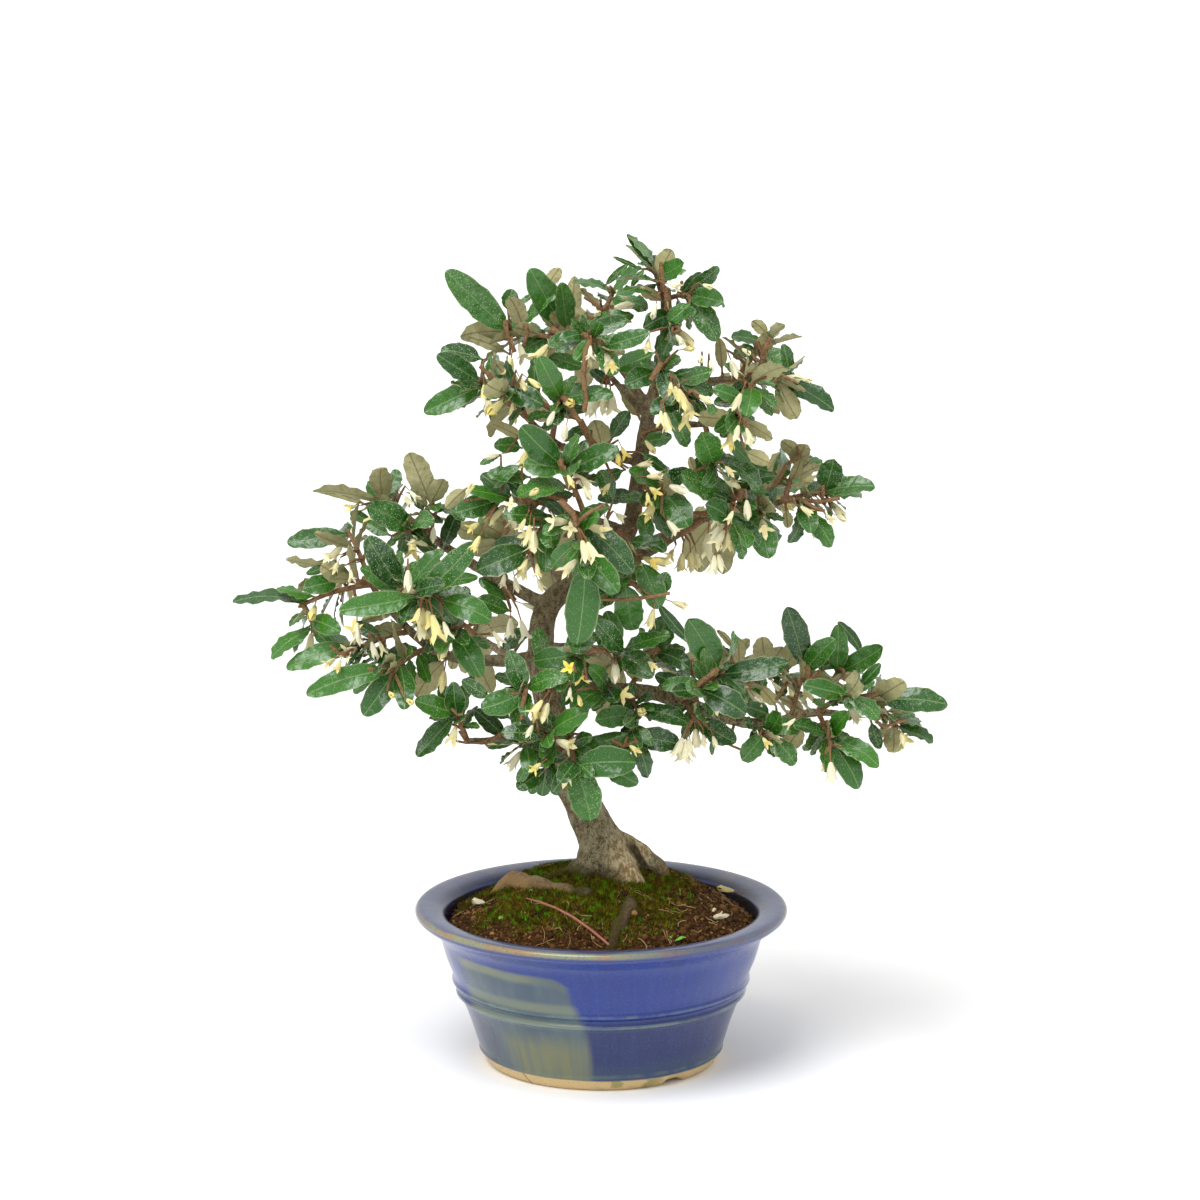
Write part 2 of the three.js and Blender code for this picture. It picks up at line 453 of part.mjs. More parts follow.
function leafPoint(leaf, t, side, lift) {
  const { form, length, width } = leaf;
  const angle = form.droop * (0.5 - t);
  const bent = length / form.droop;
  const half = width * leafHalfWidth(t);
  const raise = lift + form.fold * half * Math.abs(side)
    + form.wave * width * Math.sin(2 * Math.PI * (1.5 * t + 0.2)) * side * side;
  return leaf.root.clone()
    .addScaledVector(leaf.along, bent * (Math.sin(form.droop / 2) - Math.sin(angle))
      - raise * Math.sin(angle))
    .addScaledVector(leaf.across, half * side + form.bow * length * t * (1 - t))
    .addScaledVector(leaf.normal, bent * (Math.cos(angle) - Math.cos(form.droop / 2))
      + raise * Math.cos(angle));
}

// A blade is thickest on its midrib and thins to its edge and to its root in the stem
function leafSolid(leaf) {
  const stations = leaf.fine ? [0.3, 0.56, 0.84] : [0.36, 0.78];
  const edge = [
    ...stations.map((t) => leafPoint(leaf, t, 1, 0)),
    leafPoint(leaf, 1, 0, 0),
    ...[...stations].reverse().map((t) => leafPoint(leaf, t, -1, 0)),
  ];
  edge.push(leaf.root.clone().addScaledVector(leaf.along, -LEAF_ROOT_DEPTH));
  const low = edge.length;
  const high = low + 1;
  const triangles = [];
  for (let k = 0; k < low; k += 1) {
    const next = (k + 1) % low;
    triangles.push(low, k, next, high, next, k);
  }
  const middles = [-0.5, 0.5].map((share) => leafPoint(leaf, 0.5, 0, share * LEAF_THICKNESS));
  return solidOf(geometryFrom([...edge, ...middles], triangles));
}

function leafSamples(leaf) {
  const samples = [];
  for (let row = 1; row <= 10; row += 1) {
    for (let side = -1; side <= 1; side += 0.5) {
      samples.push({ point: leafPoint(leaf, row / 10, side, 0), radius: 0, basal: row <= 3 });
    }
  }
  return samples;
}

// Flowers: a thin stalk and tube that widens to a throat with four pointed lobes
function flowerAxis(flower, share) {
  return flower.root.clone().addScaledVector(flower.along, share * FLOWER_LENGTH);
}

function flowerRing(flower, [share, radius], twist) {
  return Array.from({ length: 4 }, (_, k) => {
    const turn = flower.turn + (k + twist) * Math.PI / 2;
    return flowerAxis(flower, share)
      .addScaledVector(flower.across, radius * Math.cos(turn))
      .addScaledVector(flower.normal, radius * Math.sin(turn));
  });
}

function flowerSolid(flower) {
  const points = [
    flower.root, ...flowerRing(flower, FLOWER_THROAT, 0),
    ...flowerRing(flower, FLOWER_LOBES, 0.5), flowerAxis(flower, FLOWER_THROAT[0] + 0.03),
  ];
  const triangles = [];
  for (let k = 0; k < 4; k += 1) {
    const next = (k + 1) % 4;
    triangles.push(0, 1 + next, 1 + k);
    triangles.push(1 + k, 1 + next, 5 + k);
    triangles.push(9, 1 + k, 5 + k, 9, 5 + k, 1 + next);
  }
  return solidOf(geometryFrom(points, triangles));
}

function flowerSamples(flower) {
  const reaches = [[0.3, 0.6], [0.45, 1.2], [0.6, 1.6], [0.75, 2.4], [0.95, 3.8]];
  return reaches.map(([share, radius]) => (
    { point: flowerAxis(flower, share), radius, basal: share < 0.5 }));
}

// Directions for a leaf or flower that grows from root along a direction
function frameOf(along, normal) {
  const up = normal.clone().addScaledVector(along, -normal.dot(along)).normalize();
  return { along, normal: up, across: up.clone().cross(along) };
}

// Everything placed so far, as sampled points, to keep new leaves clear of it
const taken = [];

function reserve(owner, kind, samples) {
  const middle = samples[Math.floor(samples.length / 2)].point;
  const reach = Math.max(...samples.map((sample) => sample.point.distanceTo(middle)));
  taken.push({ owner, kind, samples, middle, reach });
}

function clearanceFor(kind, other) {
  if (kind === 'leaf' && other === 'leaf') return LEAF_CLEARANCE;
  return other === 'twig' ? TWIG_CLEARANCE : FLOWER_CLEARANCE;
}

function isClear(owner, kind, samples) {
  const middle = samples[Math.floor(samples.length / 2)].point;
  const reach = Math.max(...samples.map((sample) => sample.point.distanceTo(middle)));
  return taken.every((body) => {
    const gap = clearanceFor(kind, body.kind);
    if (body.middle.distanceTo(middle) > body.reach + reach + gap + 5) return true;
    const own = body.owner === owner;
    return samples.every((mine) => (own && mine.basal) || body.samples.every((theirs) => (
      (own && theirs.basal)
      || mine.point.distanceTo(theirs.point) > gap + mine.radius + theirs.radius)));
  });
}

// Stems
function stepBack(samples, index, distance) {
  let k = index;
  let walked = 0;
  while (k > 0 && walked < distance) {
    walked += samples[k].point.distanceTo(samples[k - 1].point);
    k -= 1;
  }
  return samples[k];
}

function nearestStart(tip, carriers) {
  let best = null;
  carriers.forEach((samples) => samples.forEach((sample, index) => {
    const distance = sample.point.distanceTo(tip);
    if (!best || distance < best.distance) best = { samples, index, distance };
  }));
  if (best.index === best.samples.length - 1) return best.samples[best.index];
  return stepBack(best.samples, best.index, Math.max(0.35 * best.distance, 14 - best.distance));
}

function stemCurve(tip, carriers) {
  const start = nearestStart(tip, carriers);
  const length = start.point.distanceTo(tip);
  const bend = start.point.clone().lerp(tip, 0.5).addScaledVector(UP, 0.1 * length);
  return new THREE.QuadraticBezierCurve3(start.point, bend, tip);
}

function stemAt(curve, t) {
  const along = curve.getTangent(t);
  const across = new THREE.Vector3(0.31, 0.17, 0.93);
  across.addScaledVector(along, -across.dot(along)).normalize();
  return {
    point: curve.getPoint(t),
    radius: TWIG_RADIUS + (TWIG_END_RADIUS - TWIG_RADIUS) * t,
    across,
    side: along.clone().cross(across),
    along,
    basal: t < 0.25,
  };
}

function stemSamples(curve) {
  return Array.from({ length: 13 }, (_, k) => stemAt(curve, k / 12));
}

function stemSolid(curve, extra) {
  const rows = [0, 0.5, 1].map((t) => stemAt(curve, t));
  const rings = rows.map((row) => Array.from({ length: 3 }, (_, k) => {
    const turn = 2 * Math.PI * k / 3;
    const radius = row.radius + 2 * extra;
    return row.point.clone()
      .addScaledVector(row.across, radius * Math.cos(turn))
      .addScaledVector(row.side, radius * Math.sin(turn));
  }));
  const start = rows[0].point.clone().addScaledVector(rows[0].along, -extra);
  const end = rows[2].point.clone().addScaledVector(rows[2].along, BUD_LENGTH + 2 * extra);
  return solidOf(skin(start, rings, end));
}

// Leaves and flowers seen best from the front
function seenLeaf(stem, order, [u, v, out, width, facing]) {
  const root = stemAt(stem.curve, 0.98 - 0.075 * order).point;
  const form = LEAF_FORMS[Math.floor(draw(0, LEAF_FORMS.length))];
  const chord = 2 * Math.sin(form.droop / 2) / form.droop;
  const normal = TO_VIEWER.clone().multiplyScalar(facing)
    .addScaledVector(UP, 1 - Math.abs(facing));
  for (let attempt = 0; attempt < LEAF_TRIES; attempt += 1) {
    const shift = (attempt % 2 ? -3.5 : 3.5) * Math.ceil(attempt / 2);
    const shrink = 1 - 0.02 * attempt;
    const reach = place([u, v, stem.front + out + shift]).sub(root);
    const length = reach.length() * shrink / chord;
    const leaf = {
      root, form, length, width: width * shrink, fine: length > LARGE_LEAF,
      ...frameOf(reach.clone().normalize(), normal),
    };
    if (isClear(stem.owner, 'leaf', leafSamples(leaf))) return leaf;
  }
  return null;
}

function flowerToward(stem, order, direction) {
  const root = stemAt(stem.curve, 0.94 - 0.075 * order).point;
  for (let attempt = 0; attempt < LEAF_TRIES; attempt += 1) {
    const nudge = new THREE.Vector3(draw(-1, 1), draw(-1, 1), draw(-1, 1));
    const along = direction(root).normalize().addScaledVector(nudge, 0.09 * attempt).normalize();
    const flower = {
      root, turn: draw(0, Math.PI / 2), ...frameOf(along, new THREE.Vector3(0.4, 0.6, 0.7)),
    };
    if (isClear(stem.owner, 'flower', flowerSamples(flower))) return flower;
  }
  return null;
}

// Leaves the growth rule adds: they spiral round the stem and lean out and down
function ruleLeaf(stem, order, count, long) {
  const row = stemAt(stem.curve, 0.9 - 0.6 * ((order + draw(0, 0.6)) / count));
  const outward = new THREE.Vector3(row.point.x, row.point.y, 0).normalize();
  const spin = draw(0, 1);
  const length = long * draw(0.8, 1.1);
  const width = length * draw(0.42, 0.52);
  const form = LEAF_FORMS[Math.floor(draw(0, LEAF_FORMS.length))];
  for (let attempt = 0; attempt < LEAF_TRIES; attempt += 1) {
    const turn = stem.spin + GOLDEN_ANGLE * order + 0.7 * spin + 1.1 * attempt;
    const lean = 0.65 + 0.75 * (order / count) + 0.12 * (attempt % 3);
    const along = row.along.clone().multiplyScalar(Math.cos(lean))
      .addScaledVector(row.across, Math.sin(lean) * Math.cos(turn))
      .addScaledVector(row.side, Math.sin(lean) * Math.sin(turn))
      .addScaledVector(UP, -0.15)
      .addScaledVector(outward, 0.25)
      .normalize();
    const normal = UP.clone().multiplyScalar(0.5)
      .addScaledVector(row.along, 0.4)
      .addScaledVector(outward, 0.45);
    const shrink = attempt < 9 ? 1 : 0.8;
    const leaf = {
      root: row.point, form, fine: false, length: length * shrink, width: width * shrink,
      ...frameOf(along, normal),
    };
    if (isClear(stem.owner, 'leaf', leafSamples(leaf))) return leaf;
  }
  return null;
}

function growShoots() {
  const carriers = [trunkSamples, ...branchSamples];
  carriers.forEach((samples) => reserve('wood', 'twig', samples));
  const shoots = SHOOTS.map((plan, index) => {
    const stems = [];
    plan.stems.forEach(({ tip, leaves = [], flowers = [] }) => {
      const curve = stemCurve(place(tip), stems.length ? [stems[0].samples] : carriers);
      const samples = stemSamples(curve);
      stems.push({ curve, samples, front: tip[2], owner: plan.name, leaves, flowers });
      reserve(plan.name, 'twig', samples);
    });
    return { plan, index, stems, leaves: [], flowers: [] };
  });
  const keep = (shoot, list, kind, item, sampler) => {
    if (!item) return;
    list.push(item);
    reserve(shoot.plan.name, kind, sampler(item));
  };
  shoots.forEach((shoot) => {
    drawState = SEED + 101 * shoot.index;
    shoot.stems.forEach((stem) => stem.leaves.forEach((seen, order) => (
      keep(shoot, shoot.leaves, 'leaf', seenLeaf(stem, order, seen), leafSamples))));
  });
  shoots.forEach((shoot) => {
    drawState = SEED + 103 * shoot.index;
    shoot.stems.forEach((stem) => {
      stem.flowers.forEach(([u, v, out], order) => keep(shoot, shoot.flowers, 'flower',
        flowerToward(stem, order, (root) => place([u, v, stem.front + out]).sub(root)),
        flowerSamples));
      if (stem.flowers.length) return;
      const outward = stem.curve.v2.clone().setZ(0).normalize();
      const spread = new THREE.Vector3(draw(-0.5, 0.5), draw(-0.5, 0.5), draw(-1.1, -0.5));
      keep(shoot, shoot.flowers, 'flower',
        flowerToward(stem, 2, () => outward.clone().multiplyScalar(0.6).add(spread)),
        flowerSamples);
    });
  });
  shoots.forEach((shoot) => {
    drawState = SEED + 107 * shoot.index;
    shoot.stems.forEach((stem, which) => {
      stem.spin = draw(0, 2 * Math.PI);
      const share = Math.ceil((shoot.plan.more - which) / shoot.stems.length);
      for (let order = 0; order < share; order += 1) {
        keep(shoot, shoot.leaves, 'leaf',
          ruleLeaf(stem, order, Math.max(share, 2), shoot.plan.long), leafSamples);
      }
    });
  });
  return shoots;
}

// The biggest body of a cut solid: scraps past a cut are dropped
function biggest(solid) {
  const bodies = solid.decompose();
  return bodies.reduce((best, body) => (body.volume() > best.volume() ? body : best));
}

function shootSolid(shoot, obstacle) {
  const solids = shoot.stems.map((stem) => stemSolid(stem.curve, 0));
  shoot.leaves.forEach((leaf) => solids.push(leafSolid(leaf)));
  shoot.flowers.forEach((flower) => solids.push(flowerSolid(flower)));
  return biggest(wasm.Manifold.union(solids).subtract(obstacle));
}

const group = new THREE.Group();

function add(name, geometry, material) {
  const mesh = new THREE.Mesh(geometry, material);
  mesh.name = name;
  group.add(mesh);
  return mesh;
}

const fatWood = wood(SEAT_GAP);
add('pot', pot(), GLAZE);
add('drain_mesh', drainMesh(), MESH_PLASTIC).position.z = FLOOR_TOP + SEAT_GAP + MESH_THICKNESS / 2;
add('soil', geometryOf(biggest(soil().subtract(fatWood))), EARTH);
add('tree_wood', geometryOf(wood(0)), BARK);
let obstacle = fatWood;
growShoots().forEach((shoot) => {
  add(shoot.plan.name, geometryOf(shootSolid(shoot, obstacle)), LEAF_GREEN);
  const fatStems = shoot.stems.map((stem) => stemSolid(stem.curve, SEAT_GAP));
  obstacle = wasm.Manifold.union([obstacle, ...fatStems]);
});

// The origin is the middle of the whole part's outline, on the surface it stands on
group.updateMatrixWorld(true);
const middle = new THREE.Box3().setFromObject(group).getCenter(new THREE.Vector3());
group.position.set(-middle.x, -middle.y, 0);

export default group;
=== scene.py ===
# %% [markdown]
# # A thorny olive bonsai in its glazed pot
#
# The plain solids of this tree were made in CAD: a pot, the earth in it, one piece of wood and
# 56 leafy shoots. This lesson dresses them. Each chapter says what a piece is on the real tree,
# how it could be made in Blender, and why it is made the way that follows.
#
# The CAD model comes in first and stays as it is. A finished piece either stands for a CAD
# piece, which is then hidden, or sits on one.

# %% Load the CAD model
import math

import bmesh
import bpy
import numpy as np
from mathutils import Matrix, Vector, noise
from mathutils.bvhtree import BVHTree


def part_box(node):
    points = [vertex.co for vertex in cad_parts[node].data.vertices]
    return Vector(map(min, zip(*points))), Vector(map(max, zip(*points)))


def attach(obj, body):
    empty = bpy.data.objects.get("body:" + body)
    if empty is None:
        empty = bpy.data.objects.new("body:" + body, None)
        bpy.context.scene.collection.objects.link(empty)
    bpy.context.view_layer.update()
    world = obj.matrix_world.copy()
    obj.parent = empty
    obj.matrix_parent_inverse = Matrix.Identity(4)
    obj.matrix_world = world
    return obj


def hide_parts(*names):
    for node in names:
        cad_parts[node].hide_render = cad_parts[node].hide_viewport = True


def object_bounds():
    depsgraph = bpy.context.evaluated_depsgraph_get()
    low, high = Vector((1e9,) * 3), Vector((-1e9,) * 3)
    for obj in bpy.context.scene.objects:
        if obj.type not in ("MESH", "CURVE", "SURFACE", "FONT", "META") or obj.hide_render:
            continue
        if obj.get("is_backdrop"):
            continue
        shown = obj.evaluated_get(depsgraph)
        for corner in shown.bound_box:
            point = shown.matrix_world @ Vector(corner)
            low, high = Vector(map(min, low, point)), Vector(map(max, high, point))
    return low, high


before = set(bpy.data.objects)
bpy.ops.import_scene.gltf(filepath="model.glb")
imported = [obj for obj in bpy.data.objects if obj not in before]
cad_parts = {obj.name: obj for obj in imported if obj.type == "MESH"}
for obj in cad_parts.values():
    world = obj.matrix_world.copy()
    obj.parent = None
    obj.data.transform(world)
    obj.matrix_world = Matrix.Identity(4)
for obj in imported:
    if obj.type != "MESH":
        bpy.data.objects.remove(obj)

CAD_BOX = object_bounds()
print("CAD nodes:", len(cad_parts))

# %% [markdown]
# ## Millimetres round the pot's axis
#
# A tree is easier to lay out in millimetres, measured from the axis of its pot, than in metres
# from the middle of the whole object. Every mesh is therefore made in millimetres, and one last
# step, `settle`, brings it to the scene's metres and shifts it to where the CAD pot stands.

# %% Units and the pot's axis
MM = 0.001
POT_LOW, POT_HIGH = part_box("pot")
AXIS = Vector(((POT_LOW.x + POT_HIGH.x) / 2, (POT_LOW.y + POT_HIGH.y) / 2, 0))
TO_SCENE = Matrix.Translation(AXIS) @ Matrix.Scale(MM, 4)


def settle(obj, slot, *nodes):
    obj.data.transform(TO_SCENE)
    obj.data.update()
    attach(obj, "root")
    if nodes:
        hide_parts(*nodes)
    print(f"{obj.name}: {len(obj.data.polygons)} faces")
    return obj


def new_object(name, points, edges=(), faces=()):
    mesh = bpy.data.meshes.new(name)
    mesh.from_pydata([tuple(p) for p in points], list(edges), list(faces))
    obj = bpy.data.objects.new(name, mesh)
    bpy.context.scene.collection.objects.link(obj)
    return obj


print("pot axis at", [round(c, 5) for c in AXIS])

# %% [markdown]
# ## Camera
#
# The photograph was taken from well in front and a little above, with a long lens, so upright
# lines stay upright and the rim of the pot shows as a narrow ellipse. A camera could be turned
# until the picture looks right, but it is safer to work it out. The eye is a point in
# millimetres, the pitch is the angle of its line of sight, and the lens follows from how many
# pixels one millimetre takes at the pot's axis.

# %% Camera
EYE = np.array([-0.5, -2200.0, 680.0])
BOARD_MIDDLE_HEIGHT = 228.35
PIXELS_PER_MM = 2.0
PICTURE_SIDE = 1200
PIXEL_ZERO = 1056.7
SENSOR = 36.0
PITCH = math.atan2(EYE[2], -EYE[1]) - math.asin(BOARD_MIDDLE_HEIGHT / math.hypot(EYE[1], EYE[2]))
TO_VIEWER = np.array([0.0, -math.cos(PITCH), math.sin(PITCH)])
UP = np.array([0.0, 0.0, 1.0])

camera_data = bpy.data.cameras.new("camera")
camera_data.sensor_width = SENSOR
camera_data.lens = SENSOR * PIXELS_PER_MM * float(EYE @ TO_VIEWER) / PICTURE_SIDE
camera_data.clip_end = 100
camera = bpy.data.objects.new("camera", camera_data)
camera.location = TO_SCENE @ Vector(EYE)
camera.rotation_euler = (math.pi / 2 - PITCH, 0, 0)
bpy.context.scene.collection.objects.link(camera)
bpy.context.scene.camera = camera
print(f"pitch {math.degrees(PITCH):.2f} degrees, lens {camera_data.lens:.1f} mm")

# %% [markdown]
# ## Studio
#
# The tree stands on a white sheet in a bright studio: the light comes from everywhere, a little
# more from above and from the front. A white world gives the even part, and a sun with a wide
# disc gives the soft shine on leaves and glaze, with almost no shadow. A wide lamp close by
# would do as well, but its light falls off with distance and would leave the white floor uneven.

# %% Floor and light
FLOOR_SIDE = 60.0
FLOOR_WHITE = (0.95, 0.95, 0.95, 1)
WORLD_STRENGTH = 0.84
SUN_STRENGTH = 2.0
SUN_DISC = math.radians(34)
SUN_TURN = (math.radians(30), 0, math.radians(-34))

half_floor = FLOOR_SIDE / 2
floor = new_object(
    "floor", [(-half_floor, -half_floor, 0), (half_floor, -half_floor, 0),
              (half_floor, half_floor, 0), (-half_floor, half_floor, 0)], (), [(0, 1, 2, 3)])
floor_paper = bpy.data.materials.new("floor_paper")
floor_paper.use_nodes = True
floor_paper.node_tree.nodes["Principled BSDF"].inputs["Base Color"].default_value = FLOOR_WHITE
floor_paper.node_tree.nodes["Principled BSDF"].inputs["Roughness"].default_value = 1.0
floor_paper.node_tree.nodes["Principled BSDF"].inputs["Specular IOR Level"].default_value = 0.0
floor.data.materials.append(floor_paper)
floor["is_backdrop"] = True

world = bpy.data.worlds.new("studio")
world.use_nodes = True
world.node_tree.nodes["Background"].inputs["Color"].default_value = (1, 1, 1, 1)
world.node_tree.nodes["Background"].inputs["Strength"].default_value = WORLD_STRENGTH
bpy.context.scene.world = world
bpy.context.scene.view_settings.view_transform = "Standard"

sun_data = bpy.data.lights.new("sun", "SUN")
sun_data.energy = SUN_STRENGTH
sun_data.angle = SUN_DISC
sun = bpy.data.objects.new("sun", sun_data)
sun.rotation_euler = SUN_TURN
bpy.context.scene.collection.objects.link(sun)
print("studio ready")

# %% [markdown]
# ## Node trees written as sums
#
# Materials and Geometry Nodes are both node trees. Placing and linking each node by hand takes
# a line per socket. One small class that wraps a socket and knows how to add, multiply and
# compare lets the same tree be written as a sum, such as `1 - mask * 0.5`. Numbers go through
# Math nodes, and vectors and colours through Vector Math and Mix nodes, because a Math node
# would turn a colour grey.

# %% Wires and nets
class Wire:
    """One output of a node, which takes part in Python sums."""

    def __init__(self, net, socket):
        self.net = net
        self.socket = socket

    def _sum(self, operation, *values):
        wires = [value for value in values if isinstance(value, Wire)]
        is_vector = any(wire.socket.type in ("VECTOR", "RGBA") for wire in wires)
        kind = "ShaderNodeVectorMath" if is_vector else "ShaderNodeMath"
        return self.net.node(kind, {"operation": operation}, dict(enumerate(values)))

    def __add__(self, other):
        return self._sum("ADD", self, other)

    __radd__ = __add__

    def __mul__(self, other):
        return self._sum("MULTIPLY", self, other)

    __rmul__ = __mul__

    def __sub__(self, other):
        return self._sum("SUBTRACT", self, other)

    def __rsub__(self, other):
        return self._sum("SUBTRACT", other, self)

    def __truediv__(self, other):
        return self._sum("DIVIDE", self, other)

    def __rtruediv__(self, other):
        return self._sum("DIVIDE", other, self)

    def __pow__(self, other):
        return self._sum("POWER", self, other)

    def __neg__(self):
        return 0 - self

    def __abs__(self):
        return self.net.math("ABSOLUTE", self)

    def __gt__(self, other):
        return self._sum("GREATER_THAN", self, other)

    def __lt__(self, other):
        return self._sum("LESS_THAN", self, other)


class Net:
    """A node tree with one method that adds any node."""

    def __init__(self, tree):
        self.tree = tree

    def node(self, kind, settings=None, values=None, out=0):
        node = self.tree.nodes.new(kind)
        for key, value in (settings or {}).items():
            setattr(node, key, value)
        for key, value in (values or {}).items():
            self._feed(node.inputs[key], value)
        return None if out is None else Wire(self, node.outputs[out])

    def _feed(self, socket, value):
        if isinstance(value, Wire):
            self.tree.links.new(value.socket, socket)
        elif isinstance(value, list):
            for wire in value:
                self.tree.links.new(wire.socket, socket)
        elif socket.type == "RGBA":
            socket.default_value = (*value, 1)
        elif socket.type == "VECTOR" and isinstance(value, (int, float)):
            socket.default_value = (value, value, value)
        else:
            socket.default_value = value

    def math(self, operation, *values):
        return self.node("ShaderNodeMath", {"operation": operation}, dict(enumerate(values)))

    def sin(self, angle):
        return self.math("SINE", angle)

    def cos(self, angle):
        return self.math("COSINE", angle)

    def most(self, first, second):
        return self.math("MAXIMUM", first, second)

    def smooth(self, value, low, high):
        """0 below low, 1 above high, and a soft step between them."""
        return self.node(
            "ShaderNodeMapRange", {"interpolation_type": "SMOOTHSTEP"},
            {"Value": value, "From Min": low, "From Max": high})

    def fade(self, value, low, high):
        """1 below low, 0 above high, and a soft step between them."""
        return 1 - self.smooth(value, low, high)

    def mix_number(self, mask, first, second):
        return self.node("ShaderNodeMix", {"data_type": "FLOAT"}, {0: mask, 2: first, 3: second})

    def noise(self, place, scale, detail=2.0, rough=0.5):
        return self.node(
            "ShaderNodeTexNoise", None,
            {"Vector": place, "Scale": scale, "Detail": detail, "Roughness": rough})

    def parts(self, vector):
        """The three numbers of a vector."""
        node = self.tree.nodes.new("ShaderNodeSeparateXYZ")
        self.tree.links.new(vector.socket, node.inputs[0])
        return [Wire(self, output) for output in node.outputs]

    def vector(self, x, y, z):
        return self.node("ShaderNodeCombineXYZ", None, {0: x, 1: y, 2: z})


print("node helpers ready")

# %% [markdown]
# ## The growth rule
#
# On the real tree every leaf sits on a stem, every stem on a branch. The CAD model grows the
# tree by one rule with a fixed seed, and the same rule is run again here, so that each fine
# leaf lands where its plain solid is. Places are read off a board that stands through the
# middle of the pot, square to the line of sight: u to the right, v up, and f is how far in
# front of the pot's axis the point lies.

# %% Places, draws and directions
SPAN_SAMPLES = 6
GOLDEN_ANGLE = 137.5 * math.pi / 180
TWIG_RADIUS = 1.7
TWIG_END_RADIUS = 1.2
LEAF_CLEARANCE = 4
TWIG_CLEARANCE = 3.4
FLOWER_CLEARANCE = 2.4
LEAF_TRIES = 14
SEED = 20711
PETIOLE_SHARE = 0.12
FLOWER_LENGTH = 17.5
# droop, fold, wave, bow
LEAF_FORMS = [
    (0.35, 0.22, 0.05, 0.10), (0.70, 0.12, -0.06, -0.14), (0.15, 0.32, 0.04, 0.04),
    (0.95, 0.10, 0.05, 0.12), (-0.25, 0.24, -0.04, -0.08), (0.50, -0.12, 0.07, 0.16),
]
TANGENT_STEP = 0.0001
DRAW_FACTOR = 1664525
DRAW_STEP = 1013904223
DRAW_RANGE = 2 ** 32


class Draws:
    """Repeatable draws between two values."""

    def __init__(self, state):
        self.state = state

    def between(self, low, high):
        self.state = (self.state * DRAW_FACTOR + DRAW_STEP) % DRAW_RANGE
        return low + (high - low) * self.state / DRAW_RANGE


def unit(vector):
    return vector / math.sqrt(float(vector @ vector))


def place(u, v, f):
    on_board = np.array([u, v * math.sin(PITCH), v * math.cos(PITCH)])
    share = (-EYE[1] - f) / (on_board[1] - EYE[1])
    return EYE + (on_board - EYE) * share


def tangent(curve, t):
    return unit(curve(min(t + TANGENT_STEP, 1)) - curve(max(t - TANGENT_STEP, 0)))


def frame_of(along, normal):
    up = unit(normal - along * float(normal @ along))
    return along, up, np.cross(up, along)


print("a point of the board:", place(0, 200, 0).round(1))

# %% [markdown]
# ### The wood's paths
#
# The trunk leans to the left, turns back over the pot and thins towards the top. Each path
# below lists points on the board with the wood's radius there. A smooth curve through them is
# sampled, and each sample keeps two directions across the wood for whatever grows from it.

# %% Trunk, branches and roots
TRUNK = [
    (6, 70, 0, 17), (7, 84, 0, 16), (4, 103, 0, 14), (0, 113, 0, 11.2), (-6, 124, 1, 9.2),
    (-13, 136, 2, 8.5), (-19, 150, 2, 8), (-27, 182, 0, 7.4), (-30, 206, -4, 6.6),
    (-27, 224, -8, 6), (-15, 236, -11, 5.4), (2, 245, -10, 5), (14, 264, -6, 4.4),
    (19, 292, -2, 3.9), (23, 318, 2, 3.4), (29, 343, 2, 2.8), (32, 366, 0, 2), (31, 378, 0, 1.5),
]
BRANCHES = [
    # West side
    [(-30, 200, -2, 3.6), (-50, 198, 4, 3.1), (-75, 200, 12, 2.6), (-90, 208, 16, 2.2),
     (-105, 223, 18, 1.8), (-115, 236, 18, 1.4)],
    [(-28, 226, -8, 3.4), (-50, 238, -12, 2.9), (-75, 253, -18, 2.3), (-92, 266, -20, 1.5)],
    [(-21, 160, 2, 3), (-40, 161, 18, 2.4), (-55, 158, 28, 2), (-67, 158, 33, 1.5)],
    # East side
    [(-27, 183, 0, 5), (0, 183, 8, 4.4), (25, 182, 12, 3.9), (38, 178, 14, 3.6),
     (53, 173, 15, 3.2), (67, 168, 15, 2.9), (85, 167, 14, 2.5), (105, 172, 12, 2.1),
     (126, 171, 10, 1.5)],
    [(2, 245, -10, 4), (25, 254, -4, 3.4), (45, 267, 2, 2.9), (57, 272, 6, 2.6),
     (75, 274, 8, 2.1), (92, 278, 9, 1.5)],
    # Crown
    [(29, 341, 2, 2.6), (47, 338, 4, 2.1), (68, 339, 6, 1.5)],
    [(22, 313, 2, 2.5), (38, 316, 10, 2), (52, 316, 20, 1.5)],
    [(24, 323, 2, 2.7), (9, 346, -4, 2.1), (-5, 355, -8, 1.5)],
    [(19, 298, -1, 2.8), (0, 301, 4, 2.3), (-18, 304, 8, 2), (-38, 320, 10, 1.4)],
    # Front
    [(13, 262, -6, 2.8), (4, 266, 14, 2.2), (-8, 270, 34, 1.5)],
    [(-27, 180, 0, 3), (-20, 170, 16, 2.3), (-16, 160, 29, 1.5)],
    [(-28, 190, 0, 3), (-32, 187, 14, 2.2), (-36, 185, 27, 1.5)],
    # Back
    [(-29, 192, -1, 3.4), (-45, 200, -30, 2.6), (-62, 210, -62, 1.6)],
    [(-30, 204, -3, 3.6), (-5, 203, -25, 3), (20, 201, -48, 2.4), (48, 195, -68, 1.9),
     (70, 190, -76, 1.5)],
    [(-17, 235, -11, 3), (-24, 244, -35, 2.3), (-32, 250, -62, 1.5)],
    [(2, 245, -10, 3.2), (22, 256, -32, 2.6), (44, 266, -52, 2), (60, 271, -68, 1.5)],
    [(24, 320, 2, 2.4), (14, 330, -18, 2), (4, 341, -38, 1.4)],
    [(29, 343, 2, 2.2), (45, 338, -16, 1.9), (60, 336, -33, 1.4)],
]
